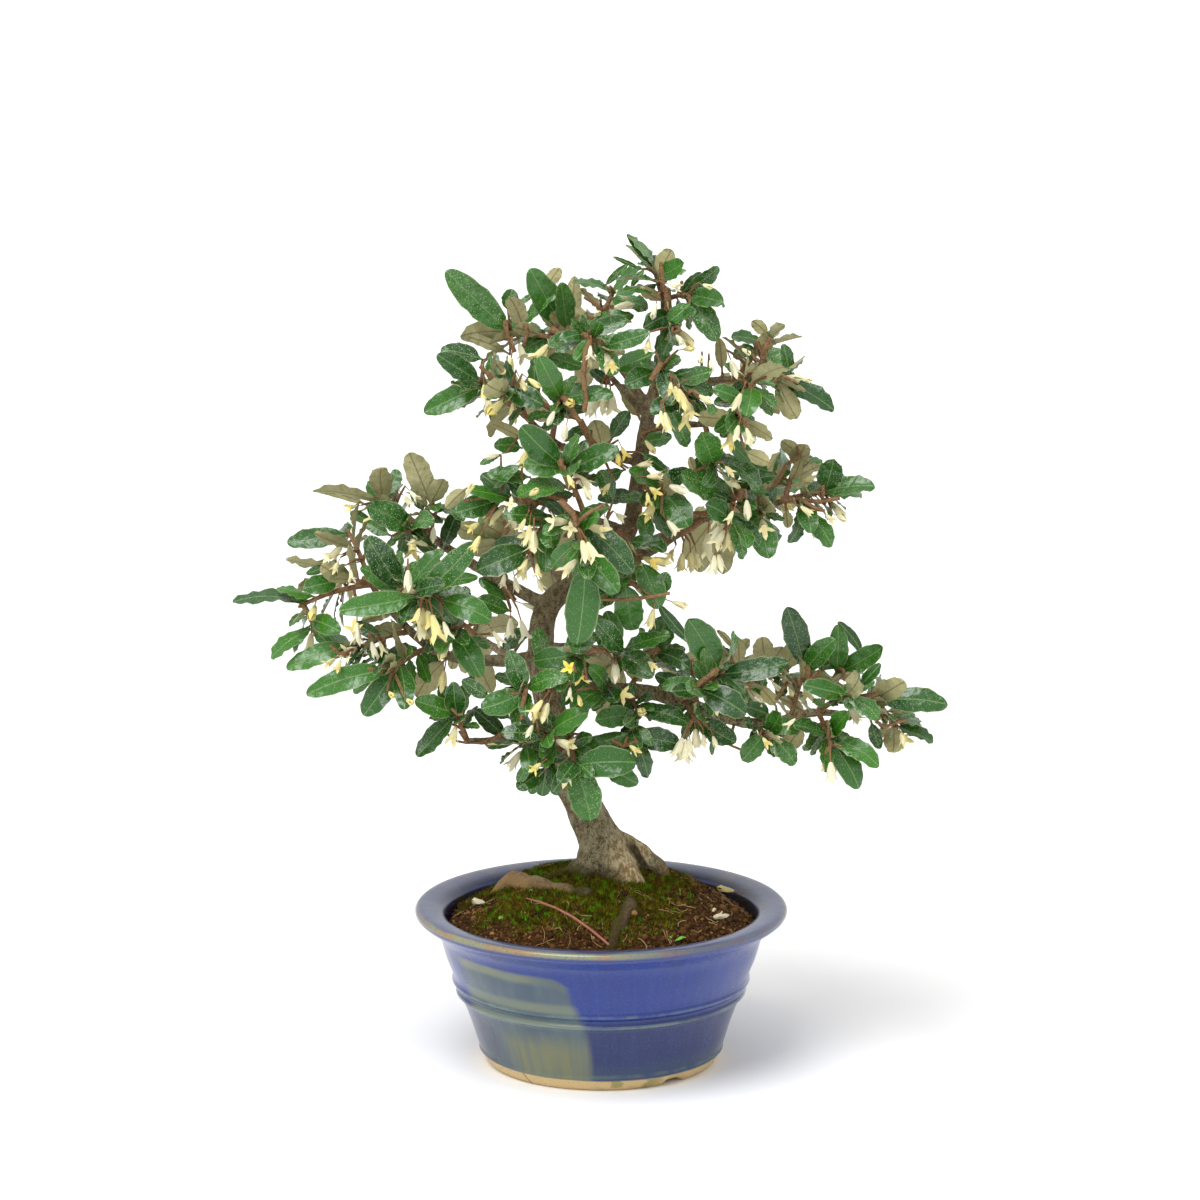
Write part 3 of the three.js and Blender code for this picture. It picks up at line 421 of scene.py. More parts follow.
ROOTS = [
    [(20, 100, -2, 5.5), (32, 96, -4, 4.6), (40, 84, -5, 3.2), (42, 72, -5, 2.4)],
    [(3, 102, 8, 7.5), (16, 92, 13, 6), (25, 82, 17, 4.2), (30, 72, 20, 3)],
    [(-5, 81, 33, 3), (-20, 83, 24, 3.2), (-35, 87, 10, 4.6), (-46, 87, -2, 4.6),
     (-54, 80, -6, 3)],
    [(-2, 98, 4, 6), (-22, 88, 4, 4.6), (-38, 84, 6, 4)],
    [(17.5, 75.5, 40, 3.6), (10, 64, 54, 4.2), (5.7, 53, 66, 3)],
    [(8, 90, 12, 7), (16, 78, 30, 4.6), (17.5, 74, 42, 3.4)],
]


def smooth_path(points):
    """A curve through all the points, which bends evenly at each of them."""
    last = len(points) - 1

    def at(t):
        span = min(int(math.floor(last * t)), last - 1)
        part = last * t - span
        before = points[span - 1] if span > 0 else 2 * points[0] - points[1]
        after = points[span + 2] if span + 2 <= last else 2 * points[last] - points[last - 1]
        start, end = points[span], points[span + 1]
        leave, arrive = 0.5 * (end - before), 0.5 * (after - start)
        return (start + leave * part + (3 * (end - start) - 2 * leave - arrive) * part ** 2
                + (2 * (start - end) + leave + arrive) * part ** 3)

    return at


def sample_branch(path):
    curve = smooth_path([place(*row[:3]) for row in path])
    spans = len(path) - 1
    count = SPAN_SAMPLES * spans
    across = unit(np.array([1, 0.13, 0.07]))
    samples = []
    for k in range(count + 1):
        t = k / count
        along = tangent(curve, t)
        across = unit(across - along * float(across @ along))
        index = min(int(math.floor(t * spans)), spans - 1)
        part = t * spans - index
        radius = path[index][3] * (1 - part) + path[index + 1][3] * part
        samples.append({"point": curve(t), "radius": radius, "across": across,
                        "side": np.cross(along, across), "along": along})
    return samples


trunk_samples = sample_branch(TRUNK)
branch_samples = [sample_branch(path) for path in BRANCHES]
root_samples = [sample_branch(path) for path in ROOTS]
print("wood samples:", sum(map(len, [trunk_samples, *branch_samples, *root_samples])))

# %% [markdown]
# ### The shoots
#
# A shoot is a twig or a few with the leaves and flowers they carry. Its region and its place in
# the list give its name. Each row has how many leaves the rule adds, their usual length, and the
# stems. A stem has its tip, then its best-seen leaves as (u, v, out, width, facing) and its
# best-seen flowers as (u, v, out), where out is how far the tip of the leaf or flower lies in
# front of the stem's.

# %% Shoots
SHOOT_ROWS = {
    "crown": [
        (2, 27, ((27, 392, 0), [(13.5, 410, 6, 11, 0.3), (36, 405, 4, 12, -0.9), (41.5, 397, 12, 11, 0.8)],
          [])),
        (2, 26, ((6, 382, -20), [(-14, 387, 4, 10, 0.3), (20, 395, 6, 10, 0.4), (23, 374, 18, 12, 0.5)],
          [])),
        (2, 30, ((44, 381, 8), [(61, 377, 14, 12, 0.8), (58, 358, 10, 13, 0.8)], []),
         ((36, 364, 16), [(48, 373, 8, 10, 0.5), (44, 377, -2, 9, 0.7)], [])),
        (2, 27, ((-9, 361, 28), [(15, 369, 6, 10, 0.8)], [(-5.5, 347, 4)]),
         ((2, 355, 38), [(24, 362, 6, 10, 0.8), (7.5, 339, 16, 12, 0.8)], [(5, 343, 14)])),
        (2, 30, ((-18, 363, -14), [(-35.5, 394, 8, 16, 0.95), (-20, 387, 14, 12, 0.5),
          (-13, 392, -6, 10, -0.8)], [])),
        (2, 32, ((-45, 361, -12), [(-77.5, 393, 6, 16, 0.9), (-71, 360, 8, 12, -0.7),
          (-46, 380, 10, 10, -0.7)], [(-38, 348, 10)])),
        (2, 30, ((-60, 337, 16), [(-82, 351, 6, 12, 0.8), (-88.5, 322, 4, 13, 0.8),
          (-81, 337, 14, 11, 0.5)], [(-56, 325, 8)])),
        (2, 30, ((-20, 329, 36), [(-31, 350, 14, 13, 0.8), (6, 331, 10, 11, 0.6)], [(-24, 347, 4),
          (-1, 322, 12)]),
         ((-50, 333, 36), [(-29, 326, 8, 12, 0.8)], [])),
        (4, 28, ((82, 356, -10), [(64.5, 360, 6, 11, 0.5), (92, 366, -4, 11, -0.5), (96, 343, 16, 12, 0.6),
          (63, 350, 12, 11, 0.8)], []),
         ((90, 338, 12), [(116.5, 323, 6, 13, 0.5), (98, 319, 8, 12, -0.8)], [])),
        (2, 28, ((75, 334, 30), [(72, 318, 12, 14, 0.8), (60, 328, 8, 11, 0.4)], []),
         ((67, 318, 42), [(49, 320, 4, 11, -0.7), (86, 309, 4, 11, -0.5)], [(64, 306, 6), (76, 303, 2)])),
        (2, 28, ((30, 344, 36), [(36, 324, 12, 13, 0.85), (12, 336, 4, 12, 0.8)], []),
         ((44, 329, 44), [(24, 322, 8, 12, 0.6)], [(42, 316, 4)])),
    ],
    "east_high": [
        (2, 28, ((57, 293, 32), [(49.5, 314, 10, 16, 0.9)], [(68, 285, 6)])),
        (2, 28, ((86, 285, -10), [(64, 308, 8, 13, 0.6)], []),
         ((80, 271, 28), [(84, 249, 8, 14, 0.95)], [])),
        (2, 26, ((97, 295, -16), [(102, 306, 12, 11, -0.5), (113, 299, 10, 11, 0.45),
          (87, 300, 14, 12, 0.8)], [])),
        (2, 28, ((112, 282, 12), [(116.5, 299, 12, 14, 0.8), (137, 285, 6, 13, 0.5)], [(122, 269, 2)]),
         ((101, 273, 18), [(115.5, 255, 6, 12, 0.5), (105, 262, 14, 11, 0.5)], [])),
        (2, 30, ((67, 282, 26), [(40, 291, 8, 17, 0.7)], []),
         ((64, 267, 38), [(52, 276, 12, 13, 0.7)], [(58, 257, 6), (63, 254, 0), (55, 249, -6)])),
        (2, 28, ((31, 282, 24), [(43.5, 265, 16, 15, 0.85), (14, 293, 12, 12, 0.6)], [(19, 297, 0),
          (24, 272, 4)])),
    ],
    "centre": [
        (2, 30, ((-19, 296, 50), [(-40, 315, 8, 16, 0.85), (-42, 297, 12, 15, 0.8), (9, 304, 0, 13, 0.7)],
          [(-6, 285, 4)])),
        (2, 28, ((-28, 266, 46), [(-25, 255, 16, 12, 0.7), (-28, 241, 8, 13, 0.8)], [(-39, 259, 8)]),
         ((-36, 254, 44), [(-62, 243, 8, 16, 0.8)], [(-40, 240, 2)])),
        (2, 28, ((-50, 279, 34), [(-73, 272, 10, 13, 0.8), (-69, 284, 4, 12, 0.5)], [(-44, 268, 8),
          (-60, 264, 4)])),
        (2, 30, ((-12, 266, 64), [(-1, 270, 14, 12, 0.8), (-22, 248, 8, 14, 0.8), (16, 242, 4, 15, 0.85)],
          [(4.5, 262, 8), (-7, 252, 12)]),
         ((-8, 248, 70), [(-12, 206, 2, 18, 0.95)], [])),
        (2, 30, ((19, 248, 30), [(29, 224, 8, 14, 0.7)], [(40, 246, 2), (34, 236, 8)]),
         ((12, 238, 34), [(17, 210, 6, 18, 0.8)], [(27, 224, -4)])),
    ],
    "west": [
        (4, 32, ((-99, 234, 34), [(-117, 260, 8, 16, 0.8)], []),
         ((-90, 230, 48), [(-131, 223, 6, 13, 0.8), (-62, 258, 2, 14, 0.9)], [(-88, 215, 4)]),
         ((-80, 228, 46), [(-55, 218, 8, 14, 0.8)], [])),
        (2, 30, ((-126, 262, -6), [(-157, 257, 4, 12, 0.7)], [(-136, 248, 4)]),
         ((-132, 238, 16), [(-149, 234, 12, 11, 0.8)], [])),
        (2, 28, ((-149, 226, 16), [(-184, 227, 2, 13, 0.3), (-138, 236, 12, 11, 0.6)], []),
         ((-143, 214, 20), [(-165, 199, 6, 12, 0.35)], [])),
        (2, 30, ((-122, 204, 24), [(-157, 194, 4, 12, 0.7)], [(-124, 216, 8), (-133, 195, 8)]),
         ((-110, 196, 20), [(-87, 207, 8, 13, 0.7)], [])),
        (2, 30, ((-104, 193, 46), [(-147, 181, 4, 13, 0.8), (-119, 170, 8, 14, 0.8),
          (-98, 172, 14, 13, 0.8)], [])),
        (2, 28, ((-109, 277, -30), [(-110, 294, 12, 13, -0.8), (-101, 296, 2, 11, 0.3),
          (-144, 283, 4, 12, -0.4)], [])),
        (2, 28, ((-85, 276, -14), [(-96, 302, 6, 14, -0.9), (-78, 290, 8, 11, -0.6)], []),
         ((-95, 263, 0), [(-117, 275, 10, 15, 0.8)], [(-94, 250, 10)])),
        (2, 30, ((-74, 214, 38), [(-60, 190, 10, 14, 0.8)], [(-80, 200, 6)])),
    ],
    "low": [
        (2, 26, ((-73, 172, 40), [(-93, 178, 10, 12, 0.8), (-92, 150, 4, 12, 0.5), (-74, 188, 14, 12, 0.7)],
          [])),
        (2, 27, ((-38, 182, 46), [(-46, 203, 6, 12, 0.7), (-60, 174, 4, 14, 0.85), (-16, 190, 8, 11, 0.7),
          (-58, 193, 8, 11, 0.6)], [(-31, 168, 8)])),
        (2, 26, ((-28, 160, 46), [(-50, 162, 6, 11, 0.6), (-7, 172, 8, 12, 0.7)], [(-15, 155, 6)]),
         ((-39, 156, 42), [(-17, 148, 8, 11, 0.8), (-36, 140, 6, 10, 0.6)], [])),
        (2, 28, ((-13, 145, 48), [(17.5, 147, 6, 17, 0.9), (-5, 117, 10, 18, 0.95)], []),
         ((-28, 144, 34), [(-42, 134, 8, 11, 0.6), (-30, 128, 10, 12, 0.7)], [(-24, 134, -4)])),
        (2, 30, ((-9, 202, 42), [(-38, 197, 6, 14, 0.8), (-14, 184, 12, 13, 0.7)], [(-17, 194, 8)]),
         ((12, 202, 34), [(-4, 219, 6, 14, 0.7), (26, 190, 12, 14, 0.8)], [])),
        (2, 28, ((28, 202, 22), [(44, 194, 14, 12, 0.6), (34, 222, 0, 15, 0.8)], []),
         ((1, 184, 30), [(-15, 173, 10, 12, 0.8)], [])),
        (2, 28, ((19, 171, 30), [(-3, 168, 8, 12, 0.8), (45, 166, 4, 12, 0.6)], []),
         ((14, 160, 34), [(41, 156, 6, 14, 0.8), (24, 138, 6, 11, 0.5), (-13, 153, 4, 11, 0.7)],
          [(12, 147, 8), (30, 150, -4)])),
    ],
    "east": [
        (2, 30, ((60, 192, 36), [(43.5, 219, 8, 17, 0.9), (94, 197, 4, 13, 0.7)], []),
         ((49, 183, 44), [(72.5, 171, 8, 15, 0.8)], [])),
        (2, 26, ((47, 169, 34), [(67.5, 157, 8, 13, 0.7)], [(52, 157, 4)]),
         ((77, 188, -14), [(91, 205, 4, 12, -0.8)], [])),
        (2, 28, ((102, 194, 2), [(93, 225, 4, 14, 0.8), (117, 209, 10, 12, 0.8), (118, 189, 10, 12, -0.6)],
          [])),
        (2, 28, ((118, 192, -8), [(141, 205, 8, 12, 0.8), (118.5, 216, 4, 11, 0.4)], []),
         ((124, 181, 26), [(101, 186, 4, 11, 0.7), (139, 169, 8, 12, 0.5)], [])),
        (2, 28, ((137, 178, 12), [(173.5, 176, 4, 14, 0.8)], []),
         ((147, 165, 6), [(166, 157, 6, 12, 0.25), (146, 152, 10, 12, -0.7)], [(152, 158, -8)])),
        (2, 27, ((115, 157, 26), [(129, 134, 6, 13, 0.8), (139, 145, 10, 12, 0.6), (124, 172, 14, 11, 0.7),
          (96, 166, 4, 11, 0.5)], [(115, 143, 4)])),
        (2, 27, ((84, 160, 32), [(97, 146, 8, 12, 0.5), (90, 172, 14, 12, 0.7), (70, 147, 6, 12, 0.7)],
          [])),
    ],
    "back": [
        (6, 31, ((-90, 230, -62), [], [])), (6, 31, ((-66, 206, -98), [], [])),
        (6, 31, ((-50, 258, -66), [], [])), (6, 30, ((-22, 250, -98), [], [])),
        (6, 31, ((84, 280, -52), [], [])), (6, 30, ((56, 264, -96), [], [])),
        (6, 31, ((66, 198, -98), [], [])), (6, 30, ((98, 188, -48), [], [])),
        (6, 31, ((8, 194, -50), [], [])), (6, 29, ((-8, 360, -62), [], [])),
        (6, 29, ((-46, 340, -36), [], [])), (6, 28, ((80, 338, -56), [], [])),
    ],
}
SHOOTS = [(f"{region}_shoot_{index}", more, long, stems)
          for region, rows in SHOOT_ROWS.items()
          for index, (more, long, *stems) in enumerate(rows, 1)]
print("shoots:", len(SHOOTS))

# %% [markdown]
# ### Keeping leaves apart
#
# Leaves on a tree touch but don't grow through each other. Each leaf, flower and twig is
# stood in for by a cloud of points, and a new one is only kept where its cloud stays clear of
# all that are there already. Points near a leaf's own root are let off, as it has to touch.

# %% Room taken so far
class Room:
    """What has been placed, as clouds of points."""

    def __init__(self):
        self.bodies = []
        self.middles = np.zeros((0, 3))
        self.reaches = np.zeros(0)

    def measure(self, points):
        middle = points[len(points) // 2]
        return middle, math.sqrt(float(((points - middle) ** 2).sum(1).max()))

    def reserve(self, owner, kind, cloud):
        middle, reach = self.measure(cloud[0])
        self.bodies.append((owner, kind, cloud))
        self.middles = np.vstack([self.middles, middle])
        self.reaches = np.append(self.reaches, reach)

    def is_clear(self, owner, kind, cloud, ease=1.0):
        points, radii, basal = cloud
        middle, reach = self.measure(points)
        gaps = np.sqrt(((self.middles - middle) ** 2).sum(1)) - self.reaches - reach
        for index in np.nonzero(gaps <= LEAF_CLEARANCE + 5)[0]:
            other, other_kind, (others, other_radii, other_basal) = self.bodies[index]
            gap = ease * clearance_for(kind, other_kind)
            mine, theirs = slice(None), slice(None)
            if other == owner:
                mine, theirs = ~basal, ~other_basal
            apart = points[mine][:, None] - others[theirs][None]
            need = gap + radii[mine][:, None] + other_radii[theirs][None]
            if ((apart ** 2).sum(2) <= need ** 2).any():
                return False
        return True


def clearance_for(kind, other):
    if kind == "leaf" and other == "leaf":
        return LEAF_CLEARANCE
    return TWIG_CLEARANCE if other == "twig" else FLOWER_CLEARANCE


def leaf_point(leaf, t, side):
    droop, fold, wave, bow = leaf["form"]
    length, width = leaf["length"], leaf["width"]
    angle = droop * (0.5 - t)
    bent = length / droop
    blade = (t - PETIOLE_SHARE) / (1 - PETIOLE_SHARE)
    half = width * max(math.sin(math.pi * blade ** 0.9), 0) ** 0.72 / 2 if blade > 0 else 0
    lift = (fold * half * abs(side)
            + wave * width * math.sin(2 * math.pi * (1.5 * t + 0.2)) * side * side)
    return (leaf["root"]
            + leaf["along"] * (bent * (math.sin(droop / 2) - math.sin(angle))
                               - lift * math.sin(angle))
            + leaf["across"] * (half * side + bow * length * t * (1 - t))
            + leaf["normal"] * (bent * (math.cos(angle) - math.cos(droop / 2))
                                + lift * math.cos(angle)))


LEAF_ROW_COUNT = 10
LEAF_ROWS = range(1, LEAF_ROW_COUNT + 1)
LEAF_SIDES = (-1, -0.5, 0, 0.5, 1)
BASAL_ROWS = 3
LEAF_BASAL = np.array([row <= BASAL_ROWS for row in LEAF_ROWS for side in LEAF_SIDES])
FLOWER_REACHES = ((0.3, 0.6), (0.45, 1.2), (0.6, 1.6), (0.75, 2.4), (0.95, 3.8))


def leaf_cloud(leaf):
    points = [leaf_point(leaf, row / LEAF_ROW_COUNT, side)
              for row in LEAF_ROWS for side in LEAF_SIDES]
    return np.array(points), np.zeros(len(points)), LEAF_BASAL


def flower_cloud(flower):
    points = [flower["root"] + flower["along"] * share * FLOWER_LENGTH
              for share, radius in FLOWER_REACHES]
    radii = np.array([radius for share, radius in FLOWER_REACHES])
    return np.array(points), radii, np.array([share < 0.5 for share, radius in FLOWER_REACHES])


def wood_cloud(samples):
    return (np.array([row["point"] for row in samples]),
            np.array([row["radius"] for row in samples]),
            np.array([row.get("basal", False) for row in samples]))


room = Room()
print("room is empty")

# %% [markdown]
# ### Stems, leaves and flowers
#
# A stem leaves the nearest wood a little below its tip and curves up to it. The best-seen
# leaves reach for their tips from its end, and the others spiral round it by the golden angle,
# which is how this tree's leaves follow each other.

# %% Grow stems, leaves and flowers
STEM_SPANS = 12
STEM_ARCH = 0.1
STEM_ACROSS = np.array([0.31, 0.17, 0.93])
STEM_BASE = 0.25
# A stem starts below the wood nearest its tip by a share of the gap, and far enough to be this long
FORK_SHARE = 0.35
LEAST_FORK = 14
# Where on a stem the first seen leaf and flower sit, and how far apart they follow
SEEN_LEAF_START = 0.98
SEEN_FLOWER_START = 0.94
SEEN_STEP = 0.075
# What a leaf or flower tries next when its place is taken
DEPTH_NUDGE = 3.5
FLOWER_NUDGE = 0.09
SHRINK_STEP = 0.02
RULE_LENGTHS = (0.8, 1.1)
RULE_WIDTHS = (0.42, 0.52)


def nearest_start(tip, carriers):
    rows = [(samples, index) for samples in carriers for index in range(len(samples))]
    apart = [math.sqrt(float(((samples[index]["point"] - tip) ** 2).sum()))
             for samples, index in rows]
    best = int(np.argmin(apart))
    samples, index = rows[best]
    if index == len(samples) - 1:
        return samples[index]
    distance = max(FORK_SHARE * apart[best], LEAST_FORK - apart[best])
    walked = 0
    while index > 0 and walked < distance:
        step = samples[index]["point"] - samples[index - 1]["point"]
        walked += math.sqrt(float(step @ step))
        index -= 1
    return samples[index]


def stem_curve(tip, carriers):
    start = nearest_start(tip, carriers)["point"]
    length = math.sqrt(float(((start - tip) ** 2).sum()))
    bend = (start + tip) / 2 + UP * STEM_ARCH * length
    return lambda t: start * (1 - t) ** 2 + bend * 2 * t * (1 - t) + tip * t * t


def stem_at(curve, t):
    along = tangent(curve, t)
    across = unit(STEM_ACROSS - along * float(STEM_ACROSS @ along))
    return {"point": curve(t), "radius": TWIG_RADIUS + (TWIG_END_RADIUS - TWIG_RADIUS) * t,
            "across": across, "side": np.cross(along, across), "along": along,
            "basal": t < STEM_BASE}


def leaf_of(root, form, length, width, along, normal):
    along, up, across = frame_of(along, normal)
    return {"root": root, "form": form, "length": length, "width": width,
            "along": along, "normal": up, "across": across}


def seen_leaf(stem, order, target, draws):
    u, v, out, width, facing = target
    root = stem_at(stem["curve"], SEEN_LEAF_START - SEEN_STEP * order)["point"]
    form = LEAF_FORMS[int(draws.between(0, len(LEAF_FORMS)))]
    chord = 2 * math.sin(form[0] / 2) / form[0]
    normal = TO_VIEWER * facing + UP * (1 - abs(facing))
    for attempt in range(LEAF_TRIES):
        shift = (-DEPTH_NUDGE if attempt % 2 else DEPTH_NUDGE) * math.ceil(attempt / 2)
        shrink = 1 - SHRINK_STEP * attempt
        reach = place(u, v, stem["front"] + out + shift) - root
        length = math.sqrt(float(reach @ reach)) * shrink / chord
        leaf = leaf_of(root, form, length, width * shrink, unit(reach), normal)
        if room.is_clear(stem["owner"], "leaf", leaf_cloud(leaf)):
            return leaf
    return None


def flower_toward(stem, order, direction, draws):
    root = stem_at(stem["curve"], SEEN_FLOWER_START - SEEN_STEP * order)["point"]
    for attempt in range(LEAF_TRIES):
        nudge = np.array([draws.between(-1, 1) for _ in range(3)])
        along = unit(unit(direction(root)) + nudge * FLOWER_NUDGE * attempt)
        flower = {"root": root, "turn": draws.between(0, math.pi / 2), "along": along}
        if room.is_clear(stem["owner"], "flower", flower_cloud(flower)):
            return flower
    return None


def rule_leaf(stem, order, count, long, draws, ease=1.0):
    row = stem_at(stem["curve"], 0.9 - 0.6 * ((order + draws.between(0, 0.6)) / count))
    outward = unit(row["point"] * (1, 1, 0))
    spin = draws.between(0, 1)
    length = long * draws.between(*RULE_LENGTHS)
    width = length * draws.between(*RULE_WIDTHS)
    form = LEAF_FORMS[int(draws.between(0, len(LEAF_FORMS)))]
    normal = UP * 0.5 + row["along"] * 0.4 + outward * 0.45
    for attempt in range(LEAF_TRIES):
        turn = stem["spin"] + GOLDEN_ANGLE * order + 0.7 * spin + 1.1 * attempt
        lean = 0.65 + 0.75 * (order / count) + 0.12 * (attempt % 3)
        along = unit(row["along"] * math.cos(lean)
                     + row["across"] * math.sin(lean) * math.cos(turn)
                     + row["side"] * math.sin(lean) * math.sin(turn)
                     - UP * 0.15 + outward * 0.25)
        shrink = 1 if attempt < 9 else 0.8
        leaf = leaf_of(row["point"], form, length * shrink, width * shrink, along, normal)
        if room.is_clear(stem["owner"], "leaf", leaf_cloud(leaf), ease):
            return leaf
    return None


def keep(shoot, kind, item):
    if item is not None:
        shoot[kind].append(item)
        cloud = leaf_cloud(item) if kind == "leaf" else flower_cloud(item)
        room.reserve(shoot["name"], kind, cloud)


def start_shoot(name, more, long, plans, carriers):
    stems = []
    for tip, leaves, flowers in plans:
        curve = stem_curve(place(*tip), [stems[0]["samples"]] if stems else carriers)
        samples = [stem_at(curve, k / STEM_SPANS) for k in range(STEM_SPANS + 1)]
        stems.append({"curve": curve, "samples": samples, "front": tip[2], "owner": name,
                      "leaves": leaves, "flowers": flowers})
        room.reserve(name, "twig", wood_cloud(samples))
    return {"name": name, "more": more, "long": long, "stems": stems, "leaf": [], "flower": []}


def grow_flowers(shoot, draws):
    for stem in shoot["stems"]:
        for order, (u, v, out) in enumerate(stem["flowers"]):
            target = place(u, v, stem["front"] + out)
            keep(shoot, "flower",
                 flower_toward(stem, order, lambda root: target - root, draws))
        if not stem["flowers"]:
            outward = unit(stem["curve"](1) * (1, 1, 0))
            spread = np.array([draws.between(-0.5, 0.5), draws.between(-0.5, 0.5),
                               draws.between(-1.1, -0.5)])
            keep(shoot, "flower",
                 flower_toward(stem, 2, lambda root: outward * 0.6 + spread, draws))


carriers = [trunk_samples, *branch_samples]
for samples in carriers:
    room.reserve("wood", "twig", wood_cloud(samples))
shoots = [start_shoot(*row, carriers) for row in SHOOTS]
for index, shoot in enumerate(shoots):
    draws = Draws(SEED + 101 * index)
    for stem in shoot["stems"]:
        for order, target in enumerate(stem["leaves"]):
            keep(shoot, "leaf", seen_leaf(stem, order, target, draws))
for index, shoot in enumerate(shoots):
    grow_flowers(shoot, Draws(SEED + 103 * index))
for index, shoot in enumerate(shoots):
    draws = Draws(SEED + 107 * index)
    for which, stem in enumerate(shoot["stems"]):
        stem["spin"] = draws.between(0, 2 * math.pi)
        share = math.ceil((shoot["more"] - which) / len(shoot["stems"]))
        for order in range(share):
            keep(shoot, "leaf", rule_leaf(stem, order, max(share, 2), shoot["long"], draws))
print("leaves:", sum(len(shoot["leaf"]) for shoot in shoots),
      "flowers:", sum(len(shoot["flower"]) for shoot in shoots))

# %% [markdown]
# ## Trees of nodes that make meshes
#
# Leaves, flowers, twigs, grains and moss all repeat. Geometry Nodes are made for that: a tree
# takes a few points or paths with named attributes and turns each into a shape. The next cell
# holds what every such tree needs: named inputs, a way to store and read an attribute, an end
# that sharpens folds and sets the material, and `run_tree`, which keeps the result as a plain
# mesh so that nothing is left to change later.

# %% Helpers for Geometry Nodes
MERGE_DISTANCE = 0.002
SHARP_ANGLE = 1.1


def new_tree(name, sizes):
    tree = bpy.data.node_groups.new(name, "GeometryNodeTree")
    tree.interface.new_socket("Geometry", in_out="OUTPUT", socket_type="NodeSocketGeometry")
    tree.interface.new_socket("Geometry", in_out="INPUT", socket_type="NodeSocketGeometry")
    for label, kind, value in sizes:
        socket = tree.interface.new_socket(label, in_out="INPUT", socket_type=kind)
        if value is not None:
            socket.default_value = value
    net = Net(tree)
    start = tree.nodes.new("NodeGroupInput")
    return net, {output.name: Wire(net, output) for output in start.outputs}


def store(net, geometry, name, value, domain="POINT", kind="FLOAT"):
    return net.node("GeometryNodeStoreNamedAttribute", {"data_type": kind, "domain": domain},
                    {"Geometry": geometry, "Name": name, "Value": value})


def stored(net, name, kind="FLOAT"):
    return net.node("GeometryNodeInputNamedAttribute", {"data_type": kind}, {"Name": name})


def close_tree(net, geometry, finish):
    """Merges doubles, keeps sharp folds sharp, sets the material and ends the tree."""
    merged = net.node("GeometryNodeMergeByDistance", None,
                      {"Geometry": geometry, "Distance": MERGE_DISTANCE})
    smooth = net.node("GeometryNodeSetShadeSmooth", {"domain": "FACE"},
                      {0: merged, "Shade Smooth": True})
    angle = net.node("GeometryNodeInputMeshEdgeAngle")
    creased = net.node("GeometryNodeSetShadeSmooth", {"domain": "EDGE"},
                       {0: smooth, "Selection": angle > SHARP_ANGLE, "Shade Smooth": False})
    painted = net.node("GeometryNodeSetMaterial", None, {0: creased, "Material": finish})
    net.node("NodeGroupOutput", None, {0: painted}, out=None)


def run_tree(obj, tree, **values):
    """Runs a tree on an object and leaves the result as a plain mesh."""
    modifier = obj.modifiers.new(tree.name, "NODES")
    modifier.node_group = tree
    for item in tree.interface.items_tree:
        if item.in_out == "INPUT" and item.name in values:
            modifier[item.identifier] = values[item.name]
    bpy.context.view_layer.update()
    graph = bpy.context.evaluated_depsgraph_get()
    mesh = bpy.data.meshes.new_from_object(
        obj.evaluated_get(graph), preserve_all_data_layers=True, depsgraph=graph)
    obj.modifiers.clear()
    obj.data = mesh
    return obj


def add_column(mesh, name, values, kind="FLOAT"):
    attribute = mesh.attributes.new(name, kind, "POINT")
    field = "vector" if kind == "FLOAT_VECTOR" else "value"
    attribute.data.foreach_set(field, np.asarray(values, np.float32).ravel())


print("tree helpers ready")

# %% [markdown]
# ## Finishes
#
# Every finish is procedural: it reads the place of a point in millimetres round the pot's axis,
# so its grain has a real size and stays put when the piece moves, or an attribute that the
# piece's own tree has stored. One class holds what they share.

# %% A finish
BUMP_UNIT = MM


def tone(red, green, blue):
    """A colour as it is read off a screen, made linear for the shader."""
    return tuple((c / 255 / 12.92) if c <= 10 else ((c / 255 + 0.055) / 1.055) ** 2.4
                 for c in (red, green, blue))


class Finish(Net):
    """A material whose nodes are written as sums."""

    def __init__(self, name):
        self.material = bpy.data.materials.new(name)
        self.material.use_nodes = True
        self.material.node_tree.nodes.clear()
        super().__init__(self.material.node_tree)
        scene_place = self.node("ShaderNodeTexCoord", out="Object")
        self.place = (scene_place - tuple(AXIS)) * (1 / MM)

    def attribute(self, name):
        return self.node("ShaderNodeAttribute", {"attribute_name": name}, out="Fac")

    def mix(self, mask, first, second):
        """The first colour where the mask is 0, the second where it is 1.

        A colour is a wire, or a tuple as it is read off a screen.
        """
        first, second = (tone(*colour) if isinstance(colour, tuple) else colour
                         for colour in (first, second))
        return self.node(
            "ShaderNodeMix", {"data_type": "RGBA"}, {0: mask, 6: first, 7: second}, out=2)

    def grain(self, scale, detail=2.0, rough=0.5):
        """A noise that stays put on the piece."""
        return self.noise(self.place, scale, detail, rough)

    def spots(self, scale, low, high, detail=2.0):
        """Spots where the grain passes from low to high."""
        return self.smooth(self.grain(scale, detail), low, high)

    def dots(self, scale, size):
        """Evenly spread round dots. size is a share of the space between them."""
        apart = self.node("ShaderNodeTexVoronoi", None, {"Vector": self.place, "Scale": scale})
        return self.fade(apart, size * 0.6, size)

    def surface(self, colour, rough, height=None, depth=1.0, **plain):
        """Ends the material. height is in units of depth millimetres."""
        values = {"Base Color": colour, "Roughness": rough}
        values.update({name.replace("_", " "): value for name, value in plain.items()})
        if height is not None:
            values["Normal"] = self.node(
                "ShaderNodeBump", None, {"Distance": depth * BUMP_UNIT, "Height": height})
        shader = self.node("ShaderNodeBsdfPrincipled", None, values)
        self.node("ShaderNodeOutputMaterial", None, {"Surface": shader}, out=None)
        return self.material


